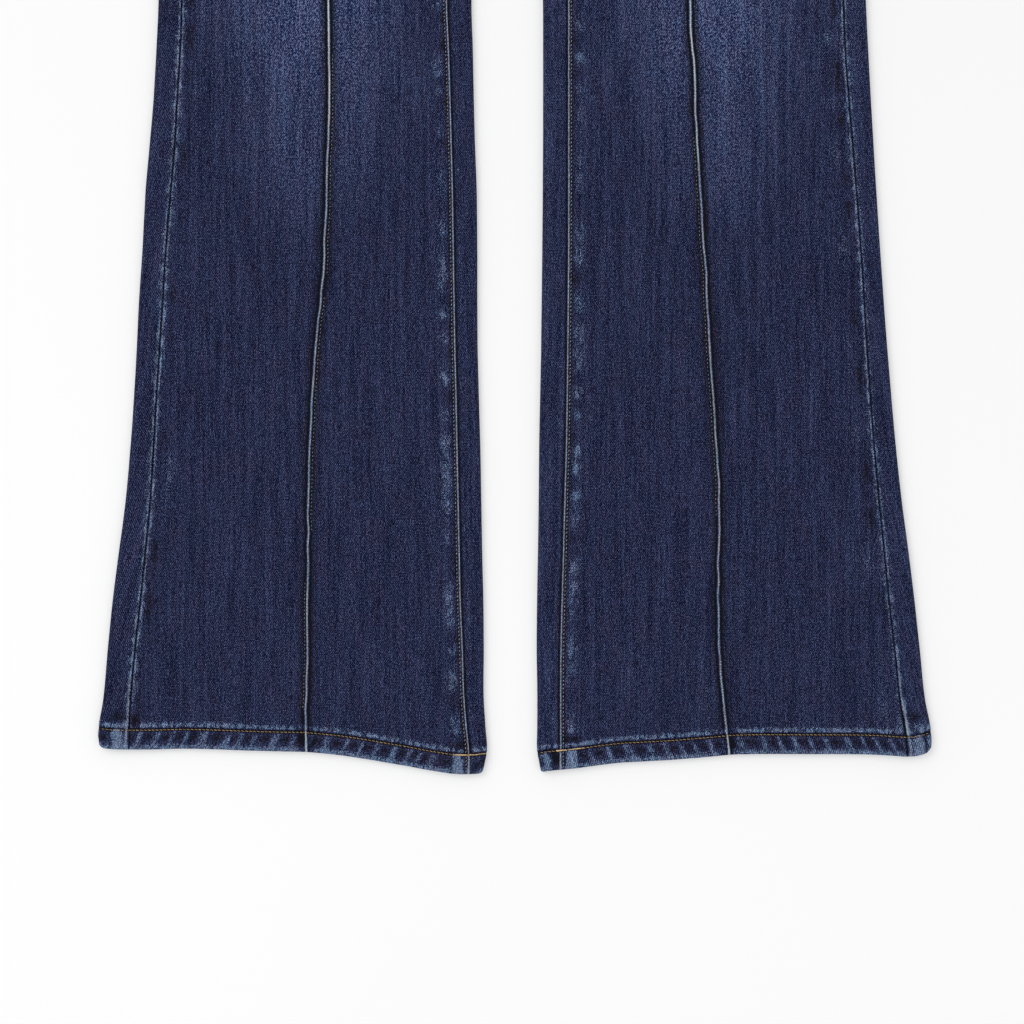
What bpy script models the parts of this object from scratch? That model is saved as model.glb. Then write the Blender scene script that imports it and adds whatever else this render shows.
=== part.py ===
"""Wide leg jeans, laid flat with the front up.

Lengths are metres. X runs to the wearer's left, Y from the hems to the waist, Z up from the surface that the
jeans lie on. Each panel is a cloth wall through cross sections of the leg: a grid of points on its outside, with
a row for each height and a column for each place across, and a second grid inside it. The back panels wrap round
both edges of each leg, so the side seams lie on the front.
"""

import math
from collections import namedtuple

import bmesh
import bpy
import numpy as np

# Driving dimensions. Heights are measured up from the lowest point of the hems.
CLOTH = 0.0012
GAP = 0.0003
LENGTH = 1.1208
MIDDLE = 0.00043
SEAT_CENTRE = -0.004
FOLD_RADIUS = 0.0025
INNER_ROOM = 0.0010
SEAT_LIFT = 0.0015
LIFT_HEIGHTS = (0.796, 0.843)
EDGE_FLAP = 0.0004
EDGE_SPACING = 0.0008
SEAM_STEP = 0.00005
FRONT_SLOPE = 0.045

HEM_DEPTH = 0.0135
HEM_ROWS = 5
HEM_WALL = 0.0022
HEM_RADIUS = 0.0030
HEM_ROOM = 0.0005
HEM_BLEND = 0.150
HEM_RISE = 0.0012
HEM_WAVES = 26
HEM_WAVE_HEIGHT = 0.0004
HEM_WAVE_SLANT = 0.0018

TUCK_FOOT = 0.0026
TUCK_TOP = 0.0014
TUCK_HEIGHT = 0.0010

WAIST_SEAM = 1.0722
WAIST_HALF_WIDTH = 0.187
WAIST_BLEND = 0.110
FRONT_DIP = -0.020
BACK_RISE = 0.010
WAIST_RISE = 0.0011
BAND_DEPTH = 0.038
BAND_WALL = 0.0024
BAND_GAP = 0.0005
BAND_UNDERLAP = 0.038
BAND_RAMP = (0.041, 0.058)

YOKE_SIDE = 1.032
YOKE_CENTRE = 1.007
YOKE_HALF_WIDTH = 0.209

FLY_HEIGHTS = (0.900, 0.930, 0.945)
FLY_LAP = 0.006
FLY_TOP = 0.0051
FLY_UNDER = 0.0027

POCKET_LOW = 0.980
POCKET_REACH = 0.068
POCKET_EDGE = 0.0046
FACING_UNDERLAP = 0.012
FACING_SLOPE = 0.018
FACING_INSET = 0.004

ZIP_START = 0.0006
ZIP_TAPE = 0.0008
ZIP_CHAIN = 0.0013
ZIP_SLIDER = 0.0017
ZIP_PLACES = (0.0, 0.0003, 0.0053, 0.0056, 0.0082, 0.0085, 0.0240)
ZIP_HEIGHTS = (0.9360, 1.0300, 1.0303, 1.0400, 1.0403, 1.0480)

BACK_POCKET_WIDTH = 0.140
BACK_POCKET_FOOT = 0.122
BACK_POCKET_SIDE = 0.130
BACK_POCKET_POINT = 0.022
BACK_POCKET_CENTRE = 0.098
BACK_POCKET_TOP = 1.000
BACK_POCKET_TURN = math.radians(3.0)

LOOP_WIDTH = 0.011
LOOP_LENGTH = 0.045
LOOP_OVERHANG = 0.007
LOOP_FRONT_PLACE = 0.086
LOOP_BACK_PLACE = 0.128

BUTTON_RADIUS = 0.0085
BUTTON_HEIGHT = 0.0030
BUTTON_PLACE = 0.012

Section = namedtuple("Section", "height outer outseam tuck inseam inner")

# The two lower legs, from hem to knee: distances out from X = 0 to the outer edge, the outseam, the pintuck, the
# inseam and the inner edge.
RIGHT_LEG = (
    Section(0.000, 0.2818, 0.2632, 0.1420, 0.0318, 0.0220),
    Section(0.016, 0.2828, 0.2634, 0.1423, 0.0316, 0.0190),
    Section(0.030, 0.2834, 0.2628, 0.1426, 0.0330, 0.0203),
    Section(0.050, 0.2802, 0.2618, 0.1426, 0.0347, 0.0216),
    Section(0.085, 0.2774, 0.2587, 0.1416, 0.0360, 0.0218),
    Section(0.118, 0.2734, 0.2550, 0.1414, 0.0374, 0.0220),
    Section(0.152, 0.2691, 0.2516, 0.1410, 0.0381, 0.0225),
    Section(0.186, 0.2648, 0.2484, 0.1408, 0.0388, 0.0233),
    Section(0.220, 0.2618, 0.2462, 0.1400, 0.0395, 0.0240),
    Section(0.288, 0.2570, 0.2421, 0.1360, 0.0410, 0.0256),
    Section(0.356, 0.2536, 0.2378, 0.1299, 0.0421, 0.0263),
    Section(0.424, 0.2489, 0.2320, 0.1275, 0.0434, 0.0277),
    Section(0.492, 0.2441, 0.2280, 0.1266, 0.0455, 0.0294),
    Section(0.526, 0.2421, 0.2270, 0.1270, 0.0468, 0.0304),
)
LEFT_LEG = (
    Section(0.000, 0.2818, 0.2672, 0.1460, 0.0308, 0.0180),
    Section(0.016, 0.2824, 0.2672, 0.1452, 0.0307, 0.0150),
    Section(0.030, 0.2824, 0.2652, 0.1436, 0.0306, 0.0151),
    Section(0.050, 0.2786, 0.2618, 0.1414, 0.0306, 0.0152),
    Section(0.085, 0.2748, 0.2581, 0.1388, 0.0308, 0.0147),
    Section(0.118, 0.2712, 0.2543, 0.1380, 0.0316, 0.0150),
    Section(0.152, 0.2670, 0.2509, 0.1381, 0.0326, 0.0156),
    Section(0.186, 0.2627, 0.2475, 0.1385, 0.0334, 0.0161),
    Section(0.220, 0.2591, 0.2444, 0.1370, 0.0344, 0.0164),
    Section(0.288, 0.2530, 0.2394, 0.1322, 0.0354, 0.0177),
    Section(0.356, 0.2480, 0.2352, 0.1285, 0.0360, 0.0185),
    Section(0.424, 0.2434, 0.2299, 0.1240, 0.0361, 0.0190),
    Section(0.492, 0.2398, 0.2246, 0.1206, 0.0361, 0.0191),
    Section(0.526, 0.2382, 0.2232, 0.1186, 0.0360, 0.0190),
)

# From the thigh to the waist both sides are alike, measured out from the seat's centre line.
SEAT = (
    Section(0.600, 0.2405, 0.2262, 0.1200, 0.0350, 0.0200),
    Section(0.680, 0.2430, 0.2295, 0.1175, 0.0205, 0.0112),
    Section(0.740, 0.2460, 0.2330, 0.1152, 0.0084, 0.0050),
    Section(0.755, 0.2467, 0.2338, 0.1146, 0.0062, 0.0040),
    Section(0.770, 0.2474, 0.2346, 0.1140, 0.0032, 0.0031),
    Section(0.785, 0.2481, 0.2354, 0.1134, 0.0023, 0.0022),
    Section(0.800, 0.2487, 0.2361, 0.1128, 0.0014, 0.0013),
    Section(0.820, 0.2492, 0.2368, 0.1120, 0.0002, 0.0002),
    Section(0.870, 0.2488, 0.2366, 0.1098, 0.0002, 0.0002),
    Section(0.930, 0.2428, 0.2310, 0.1070, 0.0002, 0.0002),
    Section(0.980, 0.2305, 0.2190, 0.1046, 0.0002, 0.0002),
    Section(1.030, 0.2098, 0.1985, 0.1020, 0.0002, 0.0002),
    Section(1.073, 0.1895, 0.1785, 0.1000, 0.0002, 0.0002),
    Section(1.121, 0.1840, 0.1730, 0.0980, 0.0002, 0.0002),
)

# Along the inseam near the fork, the back's edge uncurls and the front's edge comes down onto it.
Crotch = namedtuple("Crotch", "height curl edge_top")
CROTCH = (
    Crotch(0.740, 180.0, 0.00505),
    Crotch(0.755, 135.0, 0.00520),
    Crotch(0.770, 90.0, 0.00450),
    Crotch(0.785, 45.0, 0.00340),
    Crotch(0.800, 0.0, 0.00275),
    Crotch(0.820, 0.0, 0.00275),
    Crotch(0.860, 0.0, 0.00340),
)

# How far each hem's lower edge lies above the lowest point, by distance out from X = 0.
HemPoint = namedtuple("HemPoint", "across rise")
RIGHT_HEM = (
    HemPoint(0.020, 0.0014),
    HemPoint(0.040, 0.0002),
    HemPoint(0.065, 0.0041),
    HemPoint(0.097, 0.0102),
    HemPoint(0.130, 0.0145),
    HemPoint(0.179, 0.0165),
    HemPoint(0.244, 0.0174),
    HemPoint(0.284, 0.0176),
)
LEFT_HEM = (
    HemPoint(0.015, 0.0022),
    HemPoint(0.039, 0.0041),
    HemPoint(0.071, 0.0082),
    HemPoint(0.104, 0.0101),
    HemPoint(0.153, 0.0143),
    HemPoint(0.235, 0.0145),
    HemPoint(0.284, 0.0136),
)

PANEL_HEIGHTS = (
    0.0140, 0.022, 0.034, 0.050, 0.085, 0.118, 0.152, 0.186, 0.220, 0.254, 0.288, 0.322, 0.356, 0.390,
    0.424, 0.458, 0.492, 0.526, 0.563, 0.600, 0.640, 0.680, 0.710, 0.740, 0.755, 0.770, 0.785, 0.800,
    0.820, 0.845, 0.870, 0.900,
)
FRONT_TOP_HEIGHTS = (0.930, 0.945, 0.962, 0.980, 0.983, 0.990, 1.004, 1.022, 1.045, WAIST_SEAM)
BACK_TOP_HEIGHTS = (0.930, 0.945, 0.962, 0.980, 0.990, 1.004, 1.018, YOKE_SIDE)
YOKE_SHARES = (0.0, 0.5, 1.0)
FACING_HEIGHTS = (0.966, 0.980, 0.990, 1.004, 1.018, YOKE_SIDE, 1.0521, WAIST_SEAM)

SHARES_TO_TUCK = (0.0, 0.05, 0.14, 0.30, 0.55, 0.80)
SHARES_FROM_TUCK = (0.20, 0.45, 0.70, 0.86, 0.95, 1.0)
BACK_SHARES = (0.10, 0.28, 0.50, 0.72, 0.90)
YOKE_COLUMNS = (0.15, 0.40, 0.70, 1.0)
FACING_COLUMNS = (0.0, 0.25, 0.50, 0.75, 1.0)
FOLD_STEPS = 4

SIDES = {"right": -1, "left": 1}
INDIGO = (0.030, 0.034, 0.075)
INDIGO_DARK = (0.022, 0.026, 0.060)
INDIGO_LIGHT = (0.050, 0.060, 0.120)
COPPER = (0.42, 0.26, 0.14)
BRASS = (0.45, 0.36, 0.20)


def smooth(at, places, values):
    """The values at the places, joined by a smooth curve, read at each of the numbers in at."""
    places = np.asarray(places, float)
    values = np.asarray(values, float)
    slopes = np.gradient(values, places)
    at = np.clip(at, places[0], places[-1])
    left = np.clip(np.searchsorted(places, at) - 1, 0, len(places) - 2)
    width = places[left + 1] - places[left]
    share = (at - places[left]) / width
    rest = 1.0 - share
    start = values[left] * (1.0 + 2.0 * share) * rest**2 + slopes[left] * width * share * rest**2
    end = values[left + 1] * share**2 * (3.0 - 2.0 * share) - slopes[left + 1] * width * share**2 * rest
    return start + end


def ease(value, start, end):
    """0 up to start, 1 from end on, and a smooth rise between them."""
    share = np.clip((np.asarray(value, float) - start) / (end - start), 0.0, 1.0)
    return share * share * (3.0 - 2.0 * share)


def sections(side):
    """One side's sections, hem to waist, as distances out from X = 0."""
    shift = side * SEAT_CENTRE
    upper = [Section(row.height, *(value + shift for value in row[1:])) for row in SEAT]
    return (RIGHT_LEG if side < 0 else LEFT_LEG) + tuple(upper)


def across(side, name, height):
    """The distance out from X = 0 of one of the section's places, at each height."""
    rows = sections(side)
    curve = smooth(height, [row.height for row in rows], [getattr(row, name) for row in rows])
    return np.maximum(curve, side * SEAT_CENTRE + GAP / 2)


def from_seat(side, distance):
    """A distance out from X = 0, as one from the seat's centre line."""
    return distance - side * SEAT_CENTRE


def lift(height):
    """How far the seat's underside is raised, for the pockets that lie beneath it."""
    return SEAT_LIFT * ease(height, *LIFT_HEIGHTS)


def hem_line(side, distance):
    """The height of a hem's lower edge."""
    rows = RIGHT_HEM if side < 0 else LEFT_HEM
    return smooth(distance, [row.across for row in rows], [row.rise for row in rows])


def near_hem(side, height, distance):
    """A nominal height moved to follow the hem, less and less up the leg."""
    return height + hem_line(side, distance) * (1.0 - ease(height, PANEL_HEIGHTS[0], HEM_BLEND))


def waist_curve(side, distance, middle):
    """How far the waist seam lies above its height at the sides, with its value at the middle."""
    share = np.clip(from_seat(side, distance) / WAIST_HALF_WIDTH, -1.0, 1.0)
    return middle * (1.0 - share**2)


def near_waist(side, height, distance):
    """A nominal height on the front moved to follow the waist seam, less and less down the seat."""
    blend = ease(height, WAIST_SEAM - WAIST_BLEND, WAIST_SEAM)
    return height + waist_curve(side, distance, FRONT_DIP) * blend


def yoke_seam(side, distance):
    """The height of the seam between a back panel and its yoke."""
    return YOKE_CENTRE + (YOKE_SIDE - YOKE_CENTRE) * from_seat(side, distance) / YOKE_HALF_WIDTH


def curl(back, flap, angle, radius):
    """A place on an edge that lies flat, bends up through the angle and ends in a straight flap, by the distance
    back from the free end. Gives how far out from the start of the bend, the height, and the normal's two parts."""
    turned = np.clip(angle - (back - flap) / radius, 0.0, angle)
    straight = np.clip(flap - back, 0.0, None) - np.clip(back - flap - radius * angle, 0.0, None)
    out = radius * np.sin(turned) + np.cos(turned) * straight
    height = radius * (1.0 - np.cos(turned)) + np.sin(turned) * straight
    return out, height, np.sin(turned), -np.cos(turned)


def reach(flap, angle, radius):
    """How far out a curled edge goes from the start of its bend."""
    return np.where(angle >= math.pi / 2, radius, radius * np.sin(angle) + flap * np.cos(angle))


def curled_columns(edge, seam, angle, radius, step):
    """One curled edge's column, step 0 at its free end. Gives distance out from X = 0, height, and the normal's
    parts, outwards and up. The edge is taken outwards."""
    wrap = np.abs(edge - seam)
    flap = np.maximum(wrap - radius - GAP / 2, EDGE_FLAP)
    spacing = np.maximum(radius * angle / FOLD_STEPS, EDGE_SPACING)
    back = flap * min(step, 2) / 2 + spacing * max(step - 2, 0)
    out, height, normal_out, normal_up = curl(back, flap, angle, radius)
    return out - reach(flap, angle, radius), height, normal_out, normal_up


CURLED = FOLD_STEPS + 3


def crotch_curl(height):
    """The angle that the back's inner edge is curled through."""
    return np.radians(np.interp(height, [row.height for row in CROTCH], [row.curl for row in CROTCH]))


def front_inner_top(side, height):
    """The height of the front's outside at its inner edge: along the inseam, the fork and the fly."""
    plain = np.interp(height, [row.height for row in CROTCH], [row.edge_top for row in CROTCH])
    fly = FLY_TOP if side > 0 else FLY_UNDER
    return plain + (fly - plain) * ease(height, FLY_HEIGHTS[0], FLY_HEIGHTS[1])


def pocket_scoop(height):
    """How far the front's edge is cut back from the outseam at the pocket: a quarter of an ellipse."""
    share = np.clip((height - POCKET_LOW) / (WAIST_SEAM - POCKET_LOW), 0.0, 1.0)
    return POCKET_REACH * np.sqrt(1.0 - (1.0 - share) ** 2)


def front_edges(side, height):
    """The front's outer and inner edges and its tuck, out from X = 0."""
    outer = across(side, "outseam", height) - GAP / 2 - pocket_scoop(height)
    lap = FLY_LAP * ease(height, FLY_HEIGHTS[1], FLY_HEIGHTS[2]) if side > 0 else 0.0
    inner = across(side, "inseam", height) + GAP / 2 - lap
    return outer, inner, across(side, "tuck", height)


def front_place(side, height, column):
    """The distance out from X = 0 of one of the front's columns."""
    outer, inner, tuck = front_edges(side, height)
    if column < len(SHARES_TO_TUCK):
        return outer + (tuck + TUCK_FOOT / 2 - outer) * SHARES_TO_TUCK[column]
    column -= len(SHARES_TO_TUCK)
    ridge = (TUCK_FOOT / 2, TUCK_TOP / 2, -TUCK_TOP / 2, -TUCK_FOOT / 2)
    if column < len(ridge):
        return tuck + ridge[column]
    foot = tuck - TUCK_FOOT / 2
    return foot + (inner - foot) * SHARES_FROM_TUCK[column - len(ridge)]


FRONT_COLUMNS = len(SHARES_TO_TUCK) + 4 + len(SHARES_FROM_TUCK)
RIDGE_COLUMNS = (len(SHARES_TO_TUCK) + 1, len(SHARES_TO_TUCK) + 2)


def front_top(side, height, distance):
    """The height of the front's outside, with no tuck: high by its edges, low between them."""
    outer, inner, _ = front_edges(side, height)
    middle = 2 * CLOTH + INNER_ROOM + lift(height)
    middle = middle + HEM_RISE * (1.0 - ease(height, HEM_DEPTH, 0.070))
    middle = middle + WAIST_RISE * ease(height, WAIST_SEAM - WAIST_BLEND, WAIST_SEAM)
    at_outer = 2 * FOLD_RADIUS + SEAM_STEP + lift(height)
    scooped = ease(pocket_scoop(height), 0.0, POCKET_REACH / 2)
    at_outer = at_outer + (POCKET_EDGE + SEAT_LIFT - at_outer) * scooped
    at_inner = front_inner_top(side, height) + lift(height)
    near_outer = 1.0 - ease(outer - distance, 0.0, FRONT_SLOPE)
    near_inner = 1.0 - ease(distance - inner, 0.0, FRONT_SLOPE)
    return middle + (at_outer - middle) * near_outer + (at_inner - middle) * near_inner


def point_grid(side, distance, height, up):
    """Points from distances out from X = 0, heights along the leg, and heights above the surface."""
    return np.stack([side * distance + MIDDLE, height - LENGTH / 2, up + 0.0 * distance], axis=-1)


def front_grids(side):
    """The front panel's outer and inner points."""
    nominal = np.array(PANEL_HEIGHTS + FRONT_TOP_HEIGHTS)
    outer, inner = [], []
    for column in range(FRONT_COLUMNS):
        distance = front_place(side, nominal, column)
        height = near_waist(side, near_hem(side, nominal, distance), distance)
        distance = front_place(side, np.where(nominal < POCKET_LOW, height, nominal), column)
        top = front_top(side, nominal, distance)
        ridge = TUCK_HEIGHT if column in RIDGE_COLUMNS else 0.0
        outer.append(point_grid(side, distance, height, top + ridge))
        inner.append(point_grid(side, distance, height, top - CLOTH))
    return np.stack(outer, axis=1), np.stack(inner, axis=1)


def curled_edge_grids(side, name, seam, nominal, height_at, angle, step, outwards):
    """Outer and inner points of one column on a curled edge: the outer edge if outwards is 1, the inner if -1."""
    height = nominal
    for _ in range(2):
        edge = across(side, name, height)
        out, up, normal_out, normal_up = curled_columns(edge, across(side, seam, height), angle, FOLD_RADIUS, step)
        distance = edge + outwards * out
        height = height_at(distance)
    up = up + lift(nominal)
    outer = point_grid(side, distance, height, up)
    inner = point_grid(side, distance - outwards * normal_out * CLOTH, height, up - normal_up * CLOTH)
    return outer, inner


def back_grids(side):
    """The back panel's outer and inner points: outer flap and fold, underside, inner fold and flap."""
    nominal = np.array(PANEL_HEIGHTS + BACK_TOP_HEIGHTS)
    last = PANEL_HEIGHTS[-1]

    def height_at(distance):
        low = near_hem(side, nominal, distance)
        top = yoke_seam(side, distance) - GAP / 2
        return np.where(nominal > last, last + (top - last) * (nominal - last) / (YOKE_SIDE - last), low)

    flat = np.full(len(nominal), math.pi)
    outwards = [
        curled_edge_grids(side, "outer", "outseam", nominal, height_at, flat, step, 1) for step in range(CURLED)
    ]
    angle = crotch_curl(nominal)
    inwards = [
        curled_edge_grids(side, "inner", "inseam", nominal, height_at, angle, step, -1) for step in range(CURLED)
    ]
    inwards.reverse()
    between = []
    for share in BACK_SHARES:
        outer = outwards[-1][0] * (1.0 - share) + inwards[0][0] * share
        distance = side * (outer[:, 0] - MIDDLE)
        outer[:, 1] = height_at(distance) - LENGTH / 2
        inner = outer + np.array((0.0, 0.0, CLOTH))
        between.append((outer, inner))
    columns = outwards + between + inwards
    return tuple(np.stack([column[face] for column in columns], axis=1) for face in (0, 1))


def yoke_grids(side):
    """The yoke's outer and inner points: flap and fold at the side, then the underside to the centre seam."""
    shares = np.array(YOKE_SHARES)
    nominal = YOKE_SIDE + (WAIST_SEAM - YOKE_SIDE) * shares

    def height_at(distance, middle=BACK_RISE):
        low = yoke_seam(side, distance) + GAP / 2
        top = WAIST_SEAM + waist_curve(side, distance, middle)
        return low + (top - low) * shares

    def height_on_front(distance):
        return height_at(distance, FRONT_DIP)

    flat = np.full(len(nominal), math.pi)
    columns = []
    for step in range(CURLED):
        place = height_on_front if step <= 2 else height_at
        columns.append(curled_edge_grids(side, "outer", "outseam", nominal, place, flat, step, 1))
    start = side * (columns[-1][0][:, 0] - MIDDLE)
    end = side * SEAT_CENTRE + GAP / 2
    for share in YOKE_COLUMNS:
        distance = start + (end - start) * share
        outer = point_grid(side, distance, height_at(distance), SEAT_LIFT)
        columns.append((outer, outer + np.array((0.0, 0.0, CLOTH))))
    return tuple(np.stack([column[face] for column in columns], axis=1) for face in (0, 1))


def facing_grids(side):
    """The cloth seen inside the front pocket: level with the outseam at one edge, under the front at the other."""
    nominal = np.array(FACING_HEIGHTS)
    hidden = nominal <= POCKET_LOW
    seam = across(side, "outseam", nominal) - GAP / 2 - np.where(hidden, FACING_INSET, 0.0)
    end = across(side, "outseam", nominal) - pocket_scoop(nominal) - FACING_UNDERLAP
    low = SEAT_LIFT + 2 * CLOTH + GAP
    high = np.where(hidden, low, SEAT_LIFT + 2 * FOLD_RADIUS)
    outer = []
    for share in FACING_COLUMNS:
        distance = seam + (end - seam) * share
        height = near_waist(side, nominal, distance)
        up = low + (high - low) * (1.0 - ease(seam - distance, 0.0, FACING_SLOPE))
        outer.append(point_grid(side, distance, height, up))
    outer = np.stack(outer, axis=1)
    return outer, outer - np.array((0.0, 0.0, CLOTH))


def hem_grids(side):
    """The hem's outer and inner points, round the flattened leg: underside, inner fold, front and outer fold."""
    rows = np.linspace(0.0, HEM_DEPTH, HEM_ROWS)
    angles = np.linspace(0.0, math.pi, FOLD_STEPS + 1)
    front_places = np.linspace(0.0, 1.0, 2 * HEM_WAVES + 2)[1:-1]
    places = [("bottom", share) for share in BACK_SHARES]
    places += [("inner", angle) for angle in angles]
    places += [("front", share) for share in front_places]
    places += [("outer", angle) for angle in angles[::-1]]
    outer, inner = [], []
    for number, (kind, place) in enumerate(places):
        height = rows
        up = np.zeros(len(rows))
        out, normal_up, wave = 0.0, -1.0, 0.0
        for _ in range(2):
            start = across(side, "inner", height) + HEM_RADIUS
            end = across(side, "outer", height) - HEM_RADIUS
            if kind == "bottom":
                distance = end + (start - end) * place
            elif kind == "inner":
                distance = start - HEM_RADIUS * math.sin(place)
            elif kind == "outer":
                distance = end + HEM_RADIUS * math.sin(place)
            else:
                slant = HEM_WAVE_SLANT * (rows / HEM_DEPTH - 0.5)
                distance = start + (end - start) * place + slant * math.sin(math.pi * place)
            height = rows + hem_line(side, distance)
        if kind in ("inner", "outer"):
            up = up + HEM_RADIUS * (1.0 - math.cos(place))
            out = math.sin(place) * (-1.0 if kind == "inner" else 1.0)
            normal_up = -math.cos(place)
        if kind == "front":
            middle = 2 * HEM_WALL + HEM_ROOM
            edge = np.minimum(distance - start, end - distance)
            up = middle + (2 * HEM_RADIUS - middle) * (1.0 - ease(edge, 0.0, FRONT_SLOPE))
            normal_up = 1.0
            wave = HEM_WAVE_HEIGHT * (number % 2) * np.sin(math.pi * rows / HEM_DEPTH)
        outer.append(point_grid(side, distance, height, up + wave))
        inner.append(point_grid(side, distance - out * HEM_WALL, height, up - normal_up * HEM_WALL))
    return np.stack(outer, axis=1), np.stack(inner, axis=1)


def waistband_grids():
    """The waistband's outer and inner points: its right end, round the back, and its left end over the right."""
    radius = BAND_WALL + GAP / 2
    base = SEAT_LIFT
    steps = np.linspace(0.0, math.pi, FOLD_STEPS + 1)
    flat = WAIST_HALF_WIDTH - radius
    stations = [(-place, 2 * radius, 0.0, 1.0) for place in np.linspace(-BAND_UNDERLAP, flat, 12)]
    stations += [(-flat - radius * math.sin(turn), radius * (1.0 + math.cos(turn)), -math.sin(turn), math.cos(turn))
                 for turn in steps[1:]]
    stations += [(place, 0.0, 0.0, -1.0) for place in np.linspace(-flat, flat, 12)[1:-1]]
    stations += [(flat + radius * math.sin(turn), radius * (1.0 - math.cos(turn)), math.sin(turn), -math.cos(turn))
                 for turn in steps]
    over = BAND_WALL + GAP
    for place in np.linspace(flat, BAND_RAMP[1], 8)[1:]:
        stations.append((place, 2 * radius, 0.0, 1.0))
    for place in np.linspace(BAND_RAMP[0], -FLY_LAP, 5):
        stations.append((place, 2 * radius + over, 0.0, 1.0))
    outer, inner = [], []
    for number, (place, up, normal_out, normal_up) in enumerate(stations):
        middle = BACK_RISE if normal_up < 0.0 else FRONT_DIP
        share = min(abs(place) / WAIST_HALF_WIDTH, 1.0)
        low = WAIST_SEAM + BAND_GAP + middle * (1.0 - share**2)
        for grid, depth in ((outer, 0.0), (inner, BAND_WALL)):
            x = SEAT_CENTRE + MIDDLE + place - normal_out * depth
            z = base + up - normal_up * depth
            grid.append([(x, low - LENGTH / 2, z), (x, low + BAND_DEPTH - LENGTH / 2, z)])
    return np.array(outer).swapaxes(0, 1), np.array(inner).swapaxes(0, 1)


def zip_grids():
    """The zip: a tape with its chain along one edge and a slider at the top, beneath the fly."""
    start = SEAT_CENTRE + MIDDLE + ZIP_START
    low = SEAT_LIFT + CLOTH + GAP
    thickness = np.full((len(ZIP_HEIGHTS), len(ZIP_PLACES)), ZIP_TAPE)
    thickness[:, 1:3] = ZIP_CHAIN
    thickness[2:4, 1:5] = ZIP_SLIDER
    x, y = np.meshgrid(start + np.array(ZIP_PLACES), np.array(ZIP_HEIGHTS) - LENGTH / 2)
    outer = np.stack([x, y, low + thickness], axis=-1)
    inner = np.stack([x, y, np.full_like(x, low)], axis=-1)
    return outer, inner


def principled(name, colour, roughness, metallic=0.0):
    """A plain material."""
    material = bpy.data.materials.new(name)
    material.use_nodes = True
    shader = material.node_tree.nodes["Principled BSDF"]
    shader.inputs["Base Color"].default_value = (*colour, 1.0)
    shader.inputs["Roughness"].default_value = roughness
    shader.inputs["Metallic"].default_value = metallic
    material.diffuse_color = (*colour, 1.0)
    return material


def add_object(name, mesh, material, collection, parent, smooth_angle=40.0):
    """An object for a mesh, with its material, in the jeans' collection."""
    mesh.materials.append(material)
    mesh.shade_smooth()
    mesh.set_sharp_from_angle(angle=math.radians(smooth_angle))
    made = bpy.data.objects.new(name, mesh)
    collection.objects.link(made)
    made.parent = parent
    return made


def cloth_wall(name, grids, around=False):
    """A closed wall lofted through an outer and an inner grid of points, around a ring if asked."""
    outer, inner = grids
    rows, columns = outer.shape[:2]
    points = np.concatenate([outer.reshape(-1, 3), inner.reshape(-1, 3)])
    total = rows * columns
    number = np.arange(total).reshape(rows, columns)
    if around:
        number = np.concatenate([number, number[:, :1]], axis=1)
    quads = [np.stack([number[:-1, :-1], number[:-1, 1:], number[1:, 1:], number[1:, :-1]], axis=-1)]
    quads.append(quads[0][..., ::-1] + total)
    low, top = number[0], number[-1]
    quads.append(np.stack([low[1:], low[:-1], low[:-1] + total, low[1:] + total], axis=-1))
    quads.append(np.stack([top[:-1], top[1:], top[1:] + total, top[:-1] + total], axis=-1))
    if not around:
        first, last = number[:, 0], number[:, -1]
        quads.append(np.stack([first[:-1], first[1:], first[1:] + total, first[:-1] + total], axis=-1))
        quads.append(np.stack([last[1:], last[:-1], last[:-1] + total, last[1:] + total], axis=-1))
    faces = np.concatenate([quad.reshape(-1, 4) for quad in quads])
    mesh = bpy.data.meshes.new(name)
    mesh.from_pydata(points.tolist(), [], faces.tolist())
    shape = bmesh.new()
    shape.from_mesh(mesh)
    bmesh.ops.recalc_face_normals(shape, faces=shape.faces)
    shape.to_mesh(mesh)
    shape.free()
    return mesh


def slab(name, outline, thickness):
    """A flat piece with the outline's shape, standing on its own origin's level."""
    mesh = bpy.data.meshes.new(name)
    shape = bmesh.new()
    face = shape.faces.new([shape.verts.new((x, y, 0.0)) for x, y in outline])
    raised = bmesh.ops.extrude_face_region(shape, geom=[face])
    moved = [item for item in raised["geom"] if isinstance(item, bmesh.types.BMVert)]
    bmesh.ops.translate(shape, verts=moved, vec=(0.0, 0.0, thickness))
    bmesh.ops.recalc_face_normals(shape, faces=shape.faces)
    shape.to_mesh(mesh)
    shape.free()
    return mesh


def back_pocket_outline(side):
    """A patch pocket, wider at its mouth, with a low point."""
    top = BACK_POCKET_WIDTH / 2
    foot = BACK_POCKET_FOOT / 2
    outline = [(-top, 0.0), (top, 0.0), (foot, -BACK_POCKET_SIDE), (0.0, -BACK_POCKET_SIDE - BACK_POCKET_POINT)]
    outline.append((-foot, -BACK_POCKET_SIDE))
    return [(side * x, y) for x, y in outline]


def loop_outline():
    """A belt loop, measured from the waistband's lower edge."""
    half = LOOP_WIDTH / 2
    low = -LOOP_OVERHANG
    return [(-half, low), (half, low), (half, low + LOOP_LENGTH), (-half, low + LOOP_LENGTH)]


def add_back_pockets(material, collection, parent):
    """The two patch pockets, which lie under the seat."""
    for word, side in SIDES.items():
        mesh = slab(f"pocket_back_{word}", back_pocket_outline(side), CLOTH)
        pocket = add_object(f"pocket_back_{word}", mesh, material, collection, parent)
        x = side * BACK_POCKET_CENTRE + SEAT_CENTRE + MIDDLE
        pocket.location = (x, BACK_POCKET_TOP - LENGTH / 2, 0.0)
        pocket.rotation_euler = (0.0, 0.0, side * BACK_POCKET_TURN)


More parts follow.
